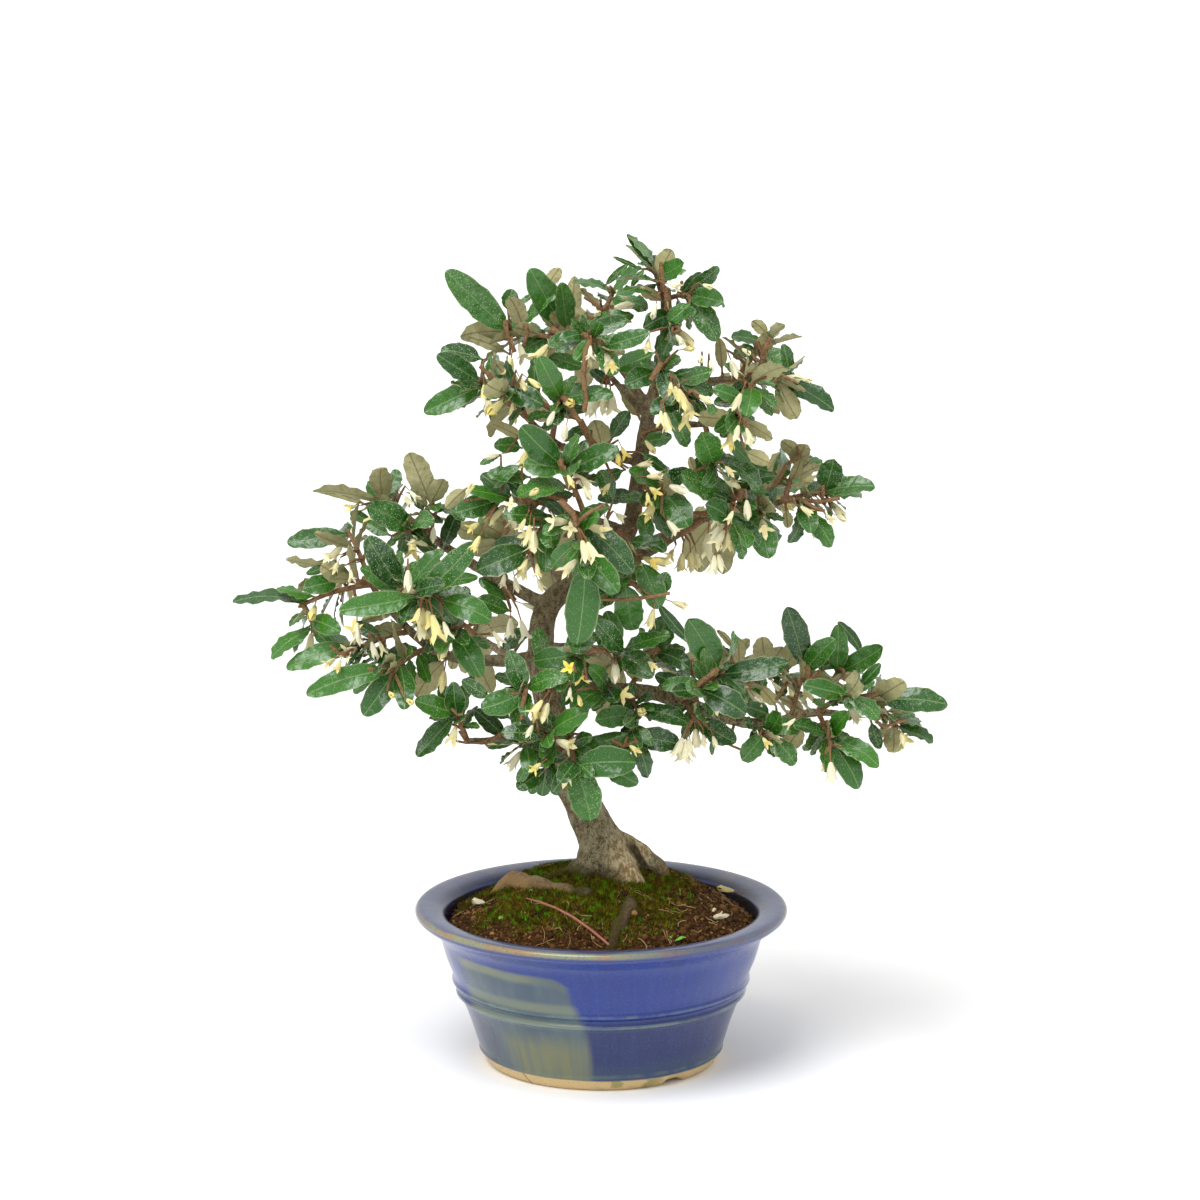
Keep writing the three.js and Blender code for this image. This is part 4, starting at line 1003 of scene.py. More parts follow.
def two_tone_finish(name, scale, detail, dark, light, rough, bump_scale, depth):
    """Two tones in a soft grain, with a fine bump."""
    net = Finish(name)
    colour = net.mix(net.grain(scale, detail), dark, light)
    return net.surface(colour, rough, net.grain(bump_scale), depth)


print("finishes ready")

# %% [markdown]
# ## Leaves
#
# The leaf is oblong with a wavy edge, leathery and glossy green above, with silvery scales, a
# pale midrib and a thin pale edge. Below it is khaki and silvery, with a brown midrib and rusty
# dots. One material serves both sides: the tree marks the faces of the lower side.

# %% Leaf finish
def leaf_finish():
    net = Finish("leaf_skin")
    tint, scurf = net.attribute("tint"), net.attribute("scurf")
    under, rib, edge = net.attribute("under"), net.attribute("rib"), net.attribute("edge")
    vein = net.attribute("vein")
    ripple = net.sin(vein * 1.7)
    vein_line = net.smooth(ripple, 0.86, 1.0)
    green = net.mix(tint, (12, 56, 8), (60, 122, 22))
    green = net.mix(net.grain(0.16, 3) * 0.5, green, (34, 98, 18))
    green = net.mix(vein_line * 0.14, green, (86, 136, 62))
    scales = net.dots(1.0, 0.26) * net.smooth(net.grain(0.2), 0.2, 0.55)
    green = net.mix(scales * (scurf * 0.7 + 0.22), green, (206, 216, 188))
    bloom = net.smooth(net.grain(0.3, 4), 0.45, 0.75) * scurf
    green = net.mix(bloom * 0.5, green, (124, 154, 104))
    rib_line = net.fade(rib, 0.1, 0.5)
    green = net.mix(rib_line * 0.45, green, (136, 168, 96))
    green = net.mix(net.smooth(edge, 0.88, 1.0) * 0.6, green, (158, 170, 118))
    khaki = net.mix(net.grain(0.2, 3), (168, 164, 112), (200, 196, 154))
    khaki = net.mix(tint * 0.5, khaki, (140, 138, 82))
    khaki = net.mix(vein_line * 0.2, khaki, (136, 124, 82))
    khaki = net.mix(net.spots(1.3, 0.62, 0.68) * 0.6, khaki, (116, 84, 48))
    khaki = net.mix(rib_line * 0.65, khaki, (126, 94, 60))
    colour = net.mix(under, green, khaki)
    rough = net.mix_number(under, scales * 0.3 + 0.27, 0.75)
    quilt = ripple * 0.07 + net.grain(0.13, 2) * 4.5 + net.grain(0.7, 3) * 0.5
    return net.surface(colour, rough, quilt - rib_line * 0.4, 0.4, Coat_Weight=(1 - under) * 0.3,
                       Coat_Roughness=0.22)


LEAF_SKIN = leaf_finish()
print("leaf finish:", len(LEAF_SKIN.node_tree.nodes), "nodes")

# %% [markdown]
# ### One tree of nodes for every leaf
#
# A leaf could be modelled once and copied, but then all would bend alike. Here each leaf is
# only a point that carries its own droop, fold, wave, bow, length and width. The tree puts two
# flat grids on it, one for each side of the blade, and then moves their points by the same
# formula as the CAD leaf, with a rippled edge and a groove along the midrib. The two sides meet
# at the edge, so the blade is a thin closed solid.

# %% Leaf tree
LEAF_VECTORS = ("root", "along", "across", "normal")
LEAF_SIZES = ("length", "width")
LEAF_BENDS = ("droop", "fold", "wave", "bow")
LARGEST_PHASE = 6.28


def leaf_tree():
    net, sizes = new_tree("grow_leaves", [
        ("rows", "NodeSocketInt", 18), ("columns", "NodeSocketInt", 5),
        ("thickness", "NodeSocketFloat", 0.5), ("stalk", "NodeSocketFloat", 0.55),
        ("ripple", "NodeSocketFloat", 0.06), ("finish", "NodeSocketMaterial", None)])
    grid = net.node("GeometryNodeMeshGrid", None, {
        "Size X": 1.0, "Size Y": 2.0, "Vertices X": sizes["rows"],
        "Vertices Y": sizes["columns"]})
    x, y, _ = net.parts(net.node("GeometryNodeInputPosition"))
    share = (1 - net.cos((x + 0.5) * math.pi)) * 0.5
    grid = store(net, store(net, grid, "share", share), "side", y)
    upper = store(net, grid, "under", 0.0, "FACE")
    lower = net.node("GeometryNodeFlipFaces", None, {0: store(net, grid, "under", 1.0, "FACE")})
    blank = net.node("GeometryNodeJoinGeometry", None,
                     {0: [store(net, upper, "lift", 1.0), store(net, lower, "lift", -1.0)]})
    copies = net.node("GeometryNodeInstanceOnPoints", None,
                      {"Points": sizes["Geometry"], "Instance": blank})
    blades = net.node("GeometryNodeRealizeInstances", None, {0: copies})

    t, side, lift = (stored(net, name) for name in ("share", "side", "lift"))
    length, width, droop, fold, wave, bow, phase = (
        stored(net, name) for name in (*LEAF_SIZES, *LEAF_BENDS, "phase"))
    blade = net.most((t - PETIOLE_SHARE) / (1 - PETIOLE_SHARE), 0.0)
    bulge = net.most(net.sin(blade ** 0.95 * math.pi), 0.0) ** 0.45 * 0.46
    scallop = (1 + 0.035 * net.sin(t * 31.0 + phase + side * 2)
               + 0.035 * net.sin(t * 17.0 - phase * 3 - side * 2))
    stalk = sizes["stalk"] * net.fade(t, 0.1, 0.22)
    half = net.most(width * bulge * scallop, stalk)
    steep = abs(side)
    square = side * side
    thick = sizes["thickness"] * (1 - square) * 0.5 * net.smooth(t, 0.0, 0.02)
    ripple = sizes["ripple"] * width * square * net.sin(t * 29.0 + phase - side * 1.3)
    raised = (lift * thick + fold * half * steep
              + wave * width * net.sin((t * 1.5 + 0.2) * 2 * math.pi) * square
              + ripple * net.smooth(t, 0.15, 0.35) * net.fade(t, 0.9, 1.0))
    angle = droop * (0.5 - t)
    bent = length / droop
    forward = bent * (net.sin(droop * 0.5) - net.sin(angle)) - raised * net.sin(angle)
    upward = bent * (net.cos(angle) - net.cos(droop * 0.5)) + raised * net.cos(angle)
    sideways = half * side + bow * length * t * (1 - t)
    root, along, across, normal = (stored(net, name, "FLOAT_VECTOR") for name in LEAF_VECTORS)
    spot = root + along * forward + across * sideways + normal * upward
    shaped = net.node("GeometryNodeSetPosition", None, {"Geometry": blades, "Position": spot})
    shaped = store(net, shaped, "rib", steep * half)
    shaped = store(net, shaped, "edge", steep)
    shaped = store(net, shaped, "vein", t * length - steep * half * 0.8)
    close_tree(net, shaped, sizes["finish"])
    return net.tree


LEAF_TREE = leaf_tree()


def leaf_points(name, leaves):
    obj = new_object(name, [leaf["root"] for leaf in leaves])
    for label in LEAF_VECTORS:
        add_column(obj.data, label, [leaf[label] for leaf in leaves], "FLOAT_VECTOR")
    for label in LEAF_SIZES:
        add_column(obj.data, label, [leaf[label] for leaf in leaves])
    for index, label in enumerate(LEAF_BENDS):
        add_column(obj.data, label, [leaf["form"][index] for leaf in leaves])
    looks = Draws(SEED + len(leaves))
    add_column(obj.data, "phase", [looks.between(0, LARGEST_PHASE) for _ in leaves])
    add_column(obj.data, "tint", [looks.between(0, 1) for _ in leaves])
    add_column(obj.data, "scurf", [looks.between(0, 1) ** 2 for _ in leaves])
    return obj


def make_leaves(name, leaves, finish=LEAF_SKIN, **sizes):
    return run_tree(leaf_points(name, leaves), LEAF_TREE, finish=finish, **sizes)


print("leaf tree:", len(LEAF_TREE.nodes), "nodes")

# %% [markdown]
# ### More leaves than the plain model has
#
# The CAD tree stops at 270 leaves. On the real one small leaves fill the spaces between them.
# They are grown by the same rule along the same stems, a little closer together.

# %% Fill in with smaller leaves
EXTRA_LEAVES = 7
EXTRA_EASE = 0.42
EXTRA_LENGTH = 0.68


def fill_shoot(shoot, draws):
    for stem in shoot["stems"]:
        stem["spin"] = draws.between(0, 2 * math.pi)
        for order in range(EXTRA_LEAVES):
            long = shoot["long"] * EXTRA_LENGTH * draws.between(0.75, 1.1)
            keep(shoot, "leaf", rule_leaf(stem, order, EXTRA_LEAVES, long, draws, EXTRA_EASE))


for index, shoot in enumerate(shoots):
    fill_shoot(shoot, Draws(SEED + 109 * index))
print("leaves now:", sum(len(shoot["leaf"]) for shoot in shoots))

# %% [markdown]
# ### Small leaves that show in the photograph
#
# The rule can't know where the real tree carries its small leaves. Those that show at the edge
# of the canopy and in its gaps are read off the picture: the pixel of the leaf's foot,
# the pixel of its tip, its width in pixels, and which side faces the viewer. A picture can't
# tell how near a leaf is, so each takes the depth of the twig that passes closest behind it.

# %% Leaves read off the photograph
# Foot, tip, width, side that shows (1 upper, -1 lower)
SEEN_LEAVES = [
    # Crown
    (484, 360, 441, 350, 20, 1), (510, 355, 461, 336, 13, -1), (508, 312, 512, 289, 18, 1),
    (548, 285, 560, 268, 15, -1), (518, 306, 533, 295, 8, 1), (520, 328, 556, 294, 16, 1),
    (551, 335, 522, 350, 20, 1), (545, 356, 582, 367, 18, 1), (612, 386, 590, 370, 14, 1),
    (650, 264, 627, 234, 9, 1), (641, 269, 613, 257, 6, 1), (604, 287, 628, 264, 8, 1),
    (630, 289, 644, 270, 7, 1), (663, 301, 640, 288, 14, -1), (577, 332, 634, 315, 20, 1),
    (656, 352, 616, 368, 22, 1), (640, 420, 622, 384, 20, -1), (603, 453, 594, 420, 26, -1),
    (592, 430, 563, 441, 16, 1), (611, 440, 629, 411, 18, 1), (641, 443, 672, 437, 18, 1),
    (640, 452, 669, 473, 12, 1), (526, 440, 493, 424, 13, -1), (523, 448, 494, 446, 18, 1),
    (501, 455, 480, 464, 10, 1), (531, 478, 487, 474, 20, 1), (522, 464, 495, 487, 14, 1),
    (626, 470, 590, 482, 20, 1), (640, 500, 598, 498, 18, 1), (613, 501, 600, 470, 20, 1),
    (690, 303, 668, 322, 18, 1), (722, 371, 719, 338, 13, -1), (768, 336, 752, 321, 14, -1),
    (790, 375, 783, 344, 16, 1), (665, 403, 687, 447, 18, 1), (745, 451, 769, 463, 16, -1),
    (804, 459, 781, 441, 16, -1), (695, 471, 690, 457, 9, -1), (575, 419, 558, 404, 12, 1),
    # Right, under the crown
    (640, 512, 648, 541, 18, 1), (786, 510, 788, 528, 12, -1), (655, 600, 691, 643, 12, 1),
    (658, 596, 667, 572, 18, 1), (622, 645, 606, 611, 20, 1), (575, 651, 601, 634, 14, 1),
    # Left
    (368, 506, 315, 490, 9, -1), (373, 523, 350, 512, 12, 1), (391, 536, 365, 522, 14, 1),
    (443, 549, 459, 508, 20, 1), (335, 560, 306, 574, 10, 1), (396, 612, 361, 622, 14, -1),
    (406, 627, 367, 634, 18, -1), (424, 587, 478, 577, 14, 1), (446, 660, 416, 697, 28, -1),
    (431, 640, 428, 675, 22, 1), (373, 675, 354, 693, 12, 1), (467, 488, 446, 508, 16, -1),
    # Middle and low
    (516, 600, 479, 578, 20, 1), (511, 612, 477, 599, 20, 1), (506, 590, 494, 565, 16, 1),
    (531, 630, 504, 649, 20, 1), (691, 691, 655, 675, 18, 1), (655, 688, 692, 671, 16, 1),
    (490, 698, 462, 680, 16, 1), (506, 736, 475, 710, 20, 1), (511, 719, 488, 702, 16, 1),
    (521, 738, 487, 747, 12, 1), (528, 762, 518, 782, 12, 1), (553, 768, 530, 793, 18, 1),
    (555, 742, 589, 708, 12, 1), (600, 761, 638, 784, 22, 1), (560, 708, 585, 680, 16, 1),
    # Right arm
    (736, 651, 717, 630, 8, -1), (766, 665, 762, 637, 24, -1), (863, 656, 838, 622, 12, 1),
    (856, 655, 818, 668, 12, 1), (860, 686, 881, 664, 14, 1), (771, 716, 744, 706, 18, 1),
    (776, 706, 762, 689, 14, -1), (806, 713, 780, 698, 15, -1), (804, 727, 786, 749, 22, -1),
    (871, 721, 880, 749, 14, 1), (713, 738, 712, 755, 6, 1), (742, 700, 720, 716, 18, 1),
]
DEPTH_SHIFTS = (0, -4, 4, -8, 8, -12, 12, -16, 16, -20, 20)
SPUR_RADII = (0.95, 0.75, 0.5)
SPUR_ARCH = 0.8
SEEN_NEARNESS = 0.03
SEEN_EASE = 0.1


def board_of(px, py):
    return (px - PICTURE_SIDE / 2 - 1) / PIXELS_PER_MM, (PIXEL_ZERO - py) / PIXELS_PER_MM


def on_board(points):
    """u, v and f of points, the other way round from place."""
    ahead = (EYE - points) @ TO_VIEWER
    across = EYE + (points - EYE) * (float(EYE @ TO_VIEWER) / ahead)[:, None]
    height = across[:, 1] * math.sin(PITCH) + across[:, 2] * math.cos(PITCH)
    return np.column_stack([across[:, 0], height, -points[:, 1]])


TWIG_POINTS = np.array(
    [row["point"] for shoot in shoots for stem in shoot["stems"] for row in stem["samples"][3:]]
    + [row["point"] for samples in branch_samples for row in samples[6:]])
TWIG_BOARD = on_board(TWIG_POINTS)


def nearest_twig(spot, nearness):
    """The twig point that shows closest to a spot of the board. nearness favours the front."""
    apart = np.sqrt(((TWIG_BOARD[:, :2] - spot) ** 2).sum(1)) - nearness * TWIG_BOARD[:, 2]
    return int(np.argmin(apart))


def spur_to(twig, root):
    middle = (twig + root) / 2 + UP * SPUR_ARCH
    return list(zip((twig, middle, root), SPUR_RADII))


def hang_leaf(row, draws):
    """A leaf read off the picture, and the spur that carries it."""
    foot, tip = np.array(board_of(*row[:2])), np.array(board_of(*row[2:4]))
    nearest = nearest_twig(foot, SEEN_NEARNESS)
    form = LEAF_FORMS[int(draws.between(0, len(LEAF_FORMS)))]
    chord = 2 * math.sin(form[0] / 2) / form[0]
    tilt = np.array([draws.between(-0.4, 0.4), 0, draws.between(0, 0.7)])
    out = draws.between(-6, 6)
    for shift in DEPTH_SHIFTS:
        front = TWIG_BOARD[nearest, 2] + shift
        root = place(*foot, front)
        reach = place(*tip, front + out) - root
        length = math.sqrt(float(reach @ reach)) / chord
        leaf = leaf_of(root, form, length, row[4] / PIXELS_PER_MM, unit(reach),
                       TO_VIEWER * row[5] + tilt)
        if room.is_clear("seen", "leaf", leaf_cloud(leaf), SEEN_EASE):
            break
    room.reserve("seen", "leaf", leaf_cloud(leaf))
    return leaf, spur_to(TWIG_POINTS[nearest], root)


draws = Draws(SEED + 5)
seen_leaves, spurs = [], []
for row in SEEN_LEAVES:
    leaf, spur = hang_leaf(row, draws)
    seen_leaves.append(leaf)
    spurs.append(spur)
print("leaves read off the picture:", len(seen_leaves))

# %% [markdown]
# ### Leaves by region
#
# One piece of leaves per part of the canopy keeps each mesh at a size that can be looked
# through, and lets each piece stand for the CAD shoots of that part.

# %% Make the leaves
REGIONS = list(SHOOT_ROWS)


def region_shoots(region):
    return [shoot for shoot in shoots if shoot["name"].rsplit("_shoot_", 1)[0] == region]


for region in REGIONS:
    members = region_shoots(region)
    leaves = [leaf for shoot in members for leaf in shoot["leaf"]]
    settle(make_leaves(f"{region}_leaves", leaves), "foliage", *[shoot["name"] for shoot in members])

settle(make_leaves("seen_leaves", seen_leaves), "foliage")

# %% [markdown]
# ## Flowers
#
# The flowers hang on thin stalks: a four-sided tube, cream to yellow with brown dots, that ends
# in four pointed lobes. Some are open, some half open and some still buds. Three small shapes
# are enough, because each flower turns, scales and tints its own copy. A shape is built in
# millimetres with its stalk at the origin and its mouth towards +Z.

# %% Flower shapes
STALK_END = 5.4
TUBE_ROWS = ((6.0, 0.85), (9.3, 1.75), (12.9, 2.1))
# How far out the middles and tips of the lobes are, and how high: bud, half open, open
LOBE_FORMS = (((2.0, 14.6), (0.25, 17.3)), ((2.9, 14.6), (3.9, 16.9)), ((3.4, 14.2), (5.2, 15.4)))
FLOWER_MOUTHS = tuple(tip[1] for middle, tip in LOBE_FORMS)


def flower_shape(name, lobes):
    points, faces, inner = [], [], []

    def ring(radius, height, sides=8, pinch=0.12):
        start = len(points)
        for k in range(sides):
            turn = 2 * math.pi * k / sides
            reach = radius * (1 + (pinch if k % 2 else -pinch))
            points.append((reach * math.cos(turn), reach * math.sin(turn), height))
        return list(range(start, start + sides))

    def span(low, high):
        for k in range(len(low)):
            after = (k + 1) % len(low)
            faces.append((low[k], low[after], high[after], high[k]))

    stalk = [ring(0.42, 0, 3, 0), ring(0.36, STALK_END + 0.4, 3, 0)]
    span(*stalk)
    faces.append(tuple(reversed(stalk[0])))
    faces.append(tuple(stalk[1]))
    stalk_faces = len(faces)

    rings = [ring(radius, height) for height, radius in TUBE_ROWS]
    pole = len(points)
    points.append((0, 0, STALK_END))
    for k in range(8):
        faces.append((pole, rings[0][(k + 1) % 8], rings[0][k]))
    for low, high in zip(rings, rings[1:]):
        span(low, high)
    mouth = rings[-1]
    throat = ring(TUBE_ROWS[-1][1] * 0.82, TUBE_ROWS[-1][0] - 0.2)
    pit = len(points)
    points.append((0, 0, TUBE_ROWS[-1][0] - 3))
    for k in range(8):
        inner.append((pit, throat[k], throat[(k + 1) % 8]))
    (mid_reach, mid_height), (tip_reach, tip_height) = lobes
    for k in range(4):
        left, heart, right = 2 * k, 2 * k + 1, (2 * k + 2) % 8
        turn = 2 * math.pi * heart / 8
        out = (math.cos(turn), math.sin(turn))
        aside = (-out[1], out[0])
        start = len(points)
        for shift, rise in ((-1.25, 0), (0, -0.25), (1.25, 0)):
            points.append((out[0] * mid_reach + aside[0] * shift,
                           out[1] * mid_reach + aside[1] * shift, mid_height + rise))
        points.append((out[0] * mid_reach * 0.94, out[1] * mid_reach * 0.94, mid_height + 0.15))
        points.append((out[0] * tip_reach, out[1] * tip_reach, tip_height))
        west, keel, east, floor_point, tip = range(start, start + 5)
        faces.extend([(mouth[left], mouth[heart], keel, west),
                      (mouth[heart], mouth[right], east, keel), (west, keel, tip),
                      (keel, east, tip)])
        inner.extend([(throat[heart], throat[left], west, floor_point),
                      (throat[right], throat[heart], floor_point, east),
                      (floor_point, west, tip), (east, floor_point, tip),
                      (mouth[left], west, throat[left]), (mouth[right], throat[right], east)])
    obj = new_object(name, points, (), faces + inner)
    marks = [("inside", [0.0] * len(faces) + [1.0] * len(inner)),
             ("stalk", [1.0] * stalk_faces + [0.0] * (len(faces) + len(inner) - stalk_faces))]
    for label, values in marks:
        attribute = obj.data.attributes.new(label, "FLOAT", "FACE")
        attribute.data.foreach_set("value", values)
    obj.hide_render = True
    return obj


FLOWER_SHAPES = [flower_shape(f"flower_shape_{k}", lobes) for k, lobes in enumerate(LOBE_FORMS)]
print("faces of a flower:", [len(shape.data.polygons) for shape in FLOWER_SHAPES])

# %% [markdown]
# ### Flower finish and tree
#
# Young flowers are silvery cream and turn yellow as they age, inside first. The tree copies the
# three shapes onto the points that ask for them, each with its own turn and size.

# %% Flower finish and tree
def flower_finish(name, fade):
    net = Finish(name)
    age, inside, stalk = net.attribute("age"), net.attribute("inside"), net.attribute("stalk")
    outer = net.mix(age, (230, 226, 196), (230, 214, 112))
    petal = net.mix(inside, outer, net.mix(age, (246, 242, 206), (248, 220, 50)))
    petal = net.mix(net.grain(0.5, 3) * 0.3, petal, (240, 236, 204))
    dots = net.spots(1.9, 0.66, 0.72) * (1 - inside)
    petal = net.mix(dots * 0.5, petal, (150, 116, 62))
    petal = net.mix(fade, petal, (148, 118, 82))
    colour = net.mix(stalk, petal, (138, 92, 56))
    height = net.grain(2.2, 2)
    return net.surface(colour, 0.62, height, 0.12)


def scatter_tree():
    net, sizes = new_tree("copy_flowers", [
        ("bud", "NodeSocketObject", None), ("half_open", "NodeSocketObject", None),
        ("open", "NodeSocketObject", None), ("finish", "NodeSocketMaterial", None)])
    form = stored(net, "form")
    copies = []
    for index, label in enumerate(("bud", "half_open", "open")):
        shape = net.node("GeometryNodeObjectInfo", None, {"Object": sizes[label]}, out="Geometry")
        chosen = net.node("ShaderNodeMath", {"operation": "COMPARE"},
                          {0: form, 1: float(index), 2: 0.5})
        copies.append(net.node("GeometryNodeInstanceOnPoints", None, {
            "Points": sizes["Geometry"], "Selection": chosen, "Instance": shape,
            "Rotation": stored(net, "turn", "QUATERNION"), "Scale": stored(net, "size")}))
    joined = net.node("GeometryNodeJoinGeometry", None, {0: copies})
    real = net.node("GeometryNodeRealizeInstances", None, {0: joined})
    close_tree(net, real, sizes["finish"])
    return net.tree


PETAL = flower_finish("flower_petal", 0.0)
FADED_PETAL = flower_finish("faded_petal", 0.3)
FLOWER_TREE = scatter_tree()


def flower_points(name, flowers):
    """flowers is a list of (root, along, spin, size, form, age)."""
    obj = new_object(name, [row[0] for row in flowers])
    turns = []
    for _, along, spin, *_ in flowers:
        straight = Vector(along).to_track_quat("Z", "Y")
        turns.append(tuple(straight @ Matrix.Rotation(spin, 3, "Z").to_quaternion()))
    add_column(obj.data, "turn", turns, "QUATERNION")
    for index, label in ((3, "size"), (4, "form"), (5, "age")):
        add_column(obj.data, label, [row[index] for row in flowers])
    return obj


def make_flowers(name, flowers, finish=PETAL):
    bud, half_open, wide_open = FLOWER_SHAPES
    return run_tree(flower_points(name, flowers), FLOWER_TREE, bud=bud, half_open=half_open,
                    open=wide_open, finish=finish)


print("flower tree:", len(FLOWER_TREE.nodes), "nodes")

# %% [markdown]
# ### Flowers by region
#
# Flowers hang in twos and threes. Each one of the CAD model gets a companion or two from the
# same spot, which hangs a little more to the side.

# %% Make the flowers
COMPANIONS = 2
LONELY_SHARE = 0.3
COMPANION_SPREAD = 0.75
COMPANION_SIZES = (0.75, 0.95)
COMPANION_EASE = 0.25


def companions(flower, draws):
    """The flower itself, and more from the same spot that clear what is there."""
    rows = [(flower["root"], flower["along"], flower["turn"], 1.0)]
    for _ in range(COMPANIONS):
        if draws.between(0, 1) < LONELY_SHARE:
            continue
        nudge = np.array([draws.between(-1, 1), draws.between(-1, 1), draws.between(-0.9, 0.1)])
        along = unit(flower["along"] + nudge * COMPANION_SPREAD)
        cloud = flower_cloud({"root": flower["root"], "along": along})
        spin, size = draws.between(0, math.pi / 2), draws.between(*COMPANION_SIZES)
        outer_cloud = tuple(column[2:] for column in cloud)
        if room.is_clear("companion", "leaf", outer_cloud, COMPANION_EASE):
            rows.append((flower["root"], along, spin, size))
            room.reserve("companion", "flower", cloud)
    return rows


for order, region in enumerate(REGIONS):
    draws = Draws(SEED + 113 * order)
    rows = []
    for shoot in region_shoots(region):
        for flower in shoot["flower"]:
            age = draws.between(0, 1)
            for root, along, spin, size in companions(flower, draws):
                form = min(int(draws.between(0.4, 3)), 2)
                rows.append((root, along, spin, size, form, age * draws.between(0.6, 1)))
    print(region, "flowers:", len(rows))
    settle(make_flowers(f"{region}_flowers", rows), "foliage")

# %% [markdown]
# ## Twigs
#
# The young twigs are thin, knobbly and rusty brown, and end in small buds. A twig follows a
# path, so its piece starts as bare lines with a radius at each point, and the tree of nodes
# turns the lines into curves and sweeps a circle along them.

# %% Tube tree
def tube_tree():
    net, sizes = new_tree("sweep_tubes", [
        ("sides", "NodeSocketInt", 7), ("knobs", "NodeSocketFloat", 0.12),
        ("finish", "NodeSocketMaterial", None)])
    curve = net.node("GeometryNodeMeshToCurve", None, {0: sizes["Geometry"]})
    circle = net.node("GeometryNodeCurvePrimitiveCircle", None,
                      {"Resolution": sizes["sides"], "Radius": 1.0})
    tube = net.node("GeometryNodeCurveToMesh", None, {
        "Curve": curve, "Profile Curve": circle, "Scale": stored(net, "radius"),
        "Fill Caps": True})
    place_now = net.node("GeometryNodeInputPosition")
    normal = net.node("GeometryNodeInputNormal")
    rough = net.noise(place_now, 0.6, 2) - 0.5
    tube = net.node("GeometryNodeSetPosition", None, {
        "Geometry": tube, "Offset": normal * (rough * sizes["knobs"] * 2)})
    close_tree(net, tube, sizes["finish"])
    return net.tree


def path_object(name, paths):
    """Lines with a radius at each point. paths is a list of [(point, radius), ...]."""
    points = [point for path in paths for point, radius in path]
    edges, start = [], 0
    for path in paths:
        edges.extend((k, k + 1) for k in range(start, start + len(path) - 1))
        start += len(path)
    obj = new_object(name, points, edges)
    add_column(obj.data, "radius", [radius for path in paths for point, radius in path])
    return obj


TUBE_TREE = tube_tree()


def make_tubes(name, paths, sides, knobs, finish):
    return run_tree(path_object(name, paths), TUBE_TREE, sides=sides, knobs=knobs, finish=finish)


print("tube tree:", len(TUBE_TREE.nodes), "nodes")

# %% [markdown]
# ### Twigs by region
#
# Each stem of the growth rule is one path, which swells into a bud past its tip. Short side
# twigs and a few thorns, which give the tree its name, fork off it.

# %% Make the twigs
TWIG_ROWS = 10
TWIG_THIN = 0.9
BUD_ROWS = ((0.9, 1.15), (2.0, 1.0), (3.0, 0.15))
SPUR_LENGTHS = (5, 10)
SPUR_PLACES = (0.25, 0.9)
SPURS_PER_STEM = 2
THORN_SHARE = 0.25


def twig_finish():
    net = Finish("twig_bark")
    colour = net.mix(net.grain(0.35, 3), (98, 68, 44), (172, 134, 94))
    colour = net.mix(net.spots(1.6, 0.58, 0.68) * 0.55, colour, (180, 160, 128))
    colour = net.mix(net.spots(0.9, 0.6, 0.68) * 0.6, colour, (48, 30, 20))
    return net.surface(colour, 0.8, net.grain(1.4, 4), 1.0, Specular_IOR_Level=0.25)


TWIG_BARK = twig_finish()


def stem_path(stem):
    path = []
    for k in range(TWIG_ROWS):
        row = stem_at(stem["curve"], k / (TWIG_ROWS - 1))
        path.append((row["point"], row["radius"] * TWIG_THIN))
    tip = path[-1][0]
    along = tangent(stem["curve"], 1)
    return path + [(tip + along * step, radius) for step, radius in BUD_ROWS]


def spur_path(stem, draws):
    row = stem_at(stem["curve"], draws.between(*SPUR_PLACES))
    turn = draws.between(0, 2 * math.pi)
    aside = row["across"] * math.cos(turn) + row["side"] * math.sin(turn)
    along = unit(row["along"] * 0.5 + aside)
    length = draws.between(*SPUR_LENGTHS)
    end = row["point"] + along * length
    middle = row["point"] + along * length * 0.55 + UP * 0.4
    if draws.between(0, 1) < THORN_SHARE:
        return [(row["point"], 0.75), (middle, 0.45), (end, 0.08)]
    bud = [(end + along * step * 0.7, radius * 0.8) for step, radius in BUD_ROWS]
    return [(row["point"], 0.8), (middle, 0.65), (end, 0.6), *bud]


for order, region in enumerate(REGIONS):
    draws = Draws(SEED + 127 * order)
    paths = []
    for shoot in region_shoots(region):
        for stem in shoot["stems"]:
            paths.append(stem_path(stem))
            paths.extend(spur_path(stem, draws) for _ in range(SPURS_PER_STEM))
    settle(make_tubes(f"{region}_twigs", paths, 6, 0.26, TWIG_BARK), "bark")

# %% [markdown]
# ## Trunk, roots and branches
#
# The wood is one grown piece. The same tube tree gives each limb its round form, but limbs on a
# real tree flow into each other. A voxel remesh melts the tubes into one closed skin, a little
# smoothing softens the forks, and noise that is stretched along the trunk raises the bark.

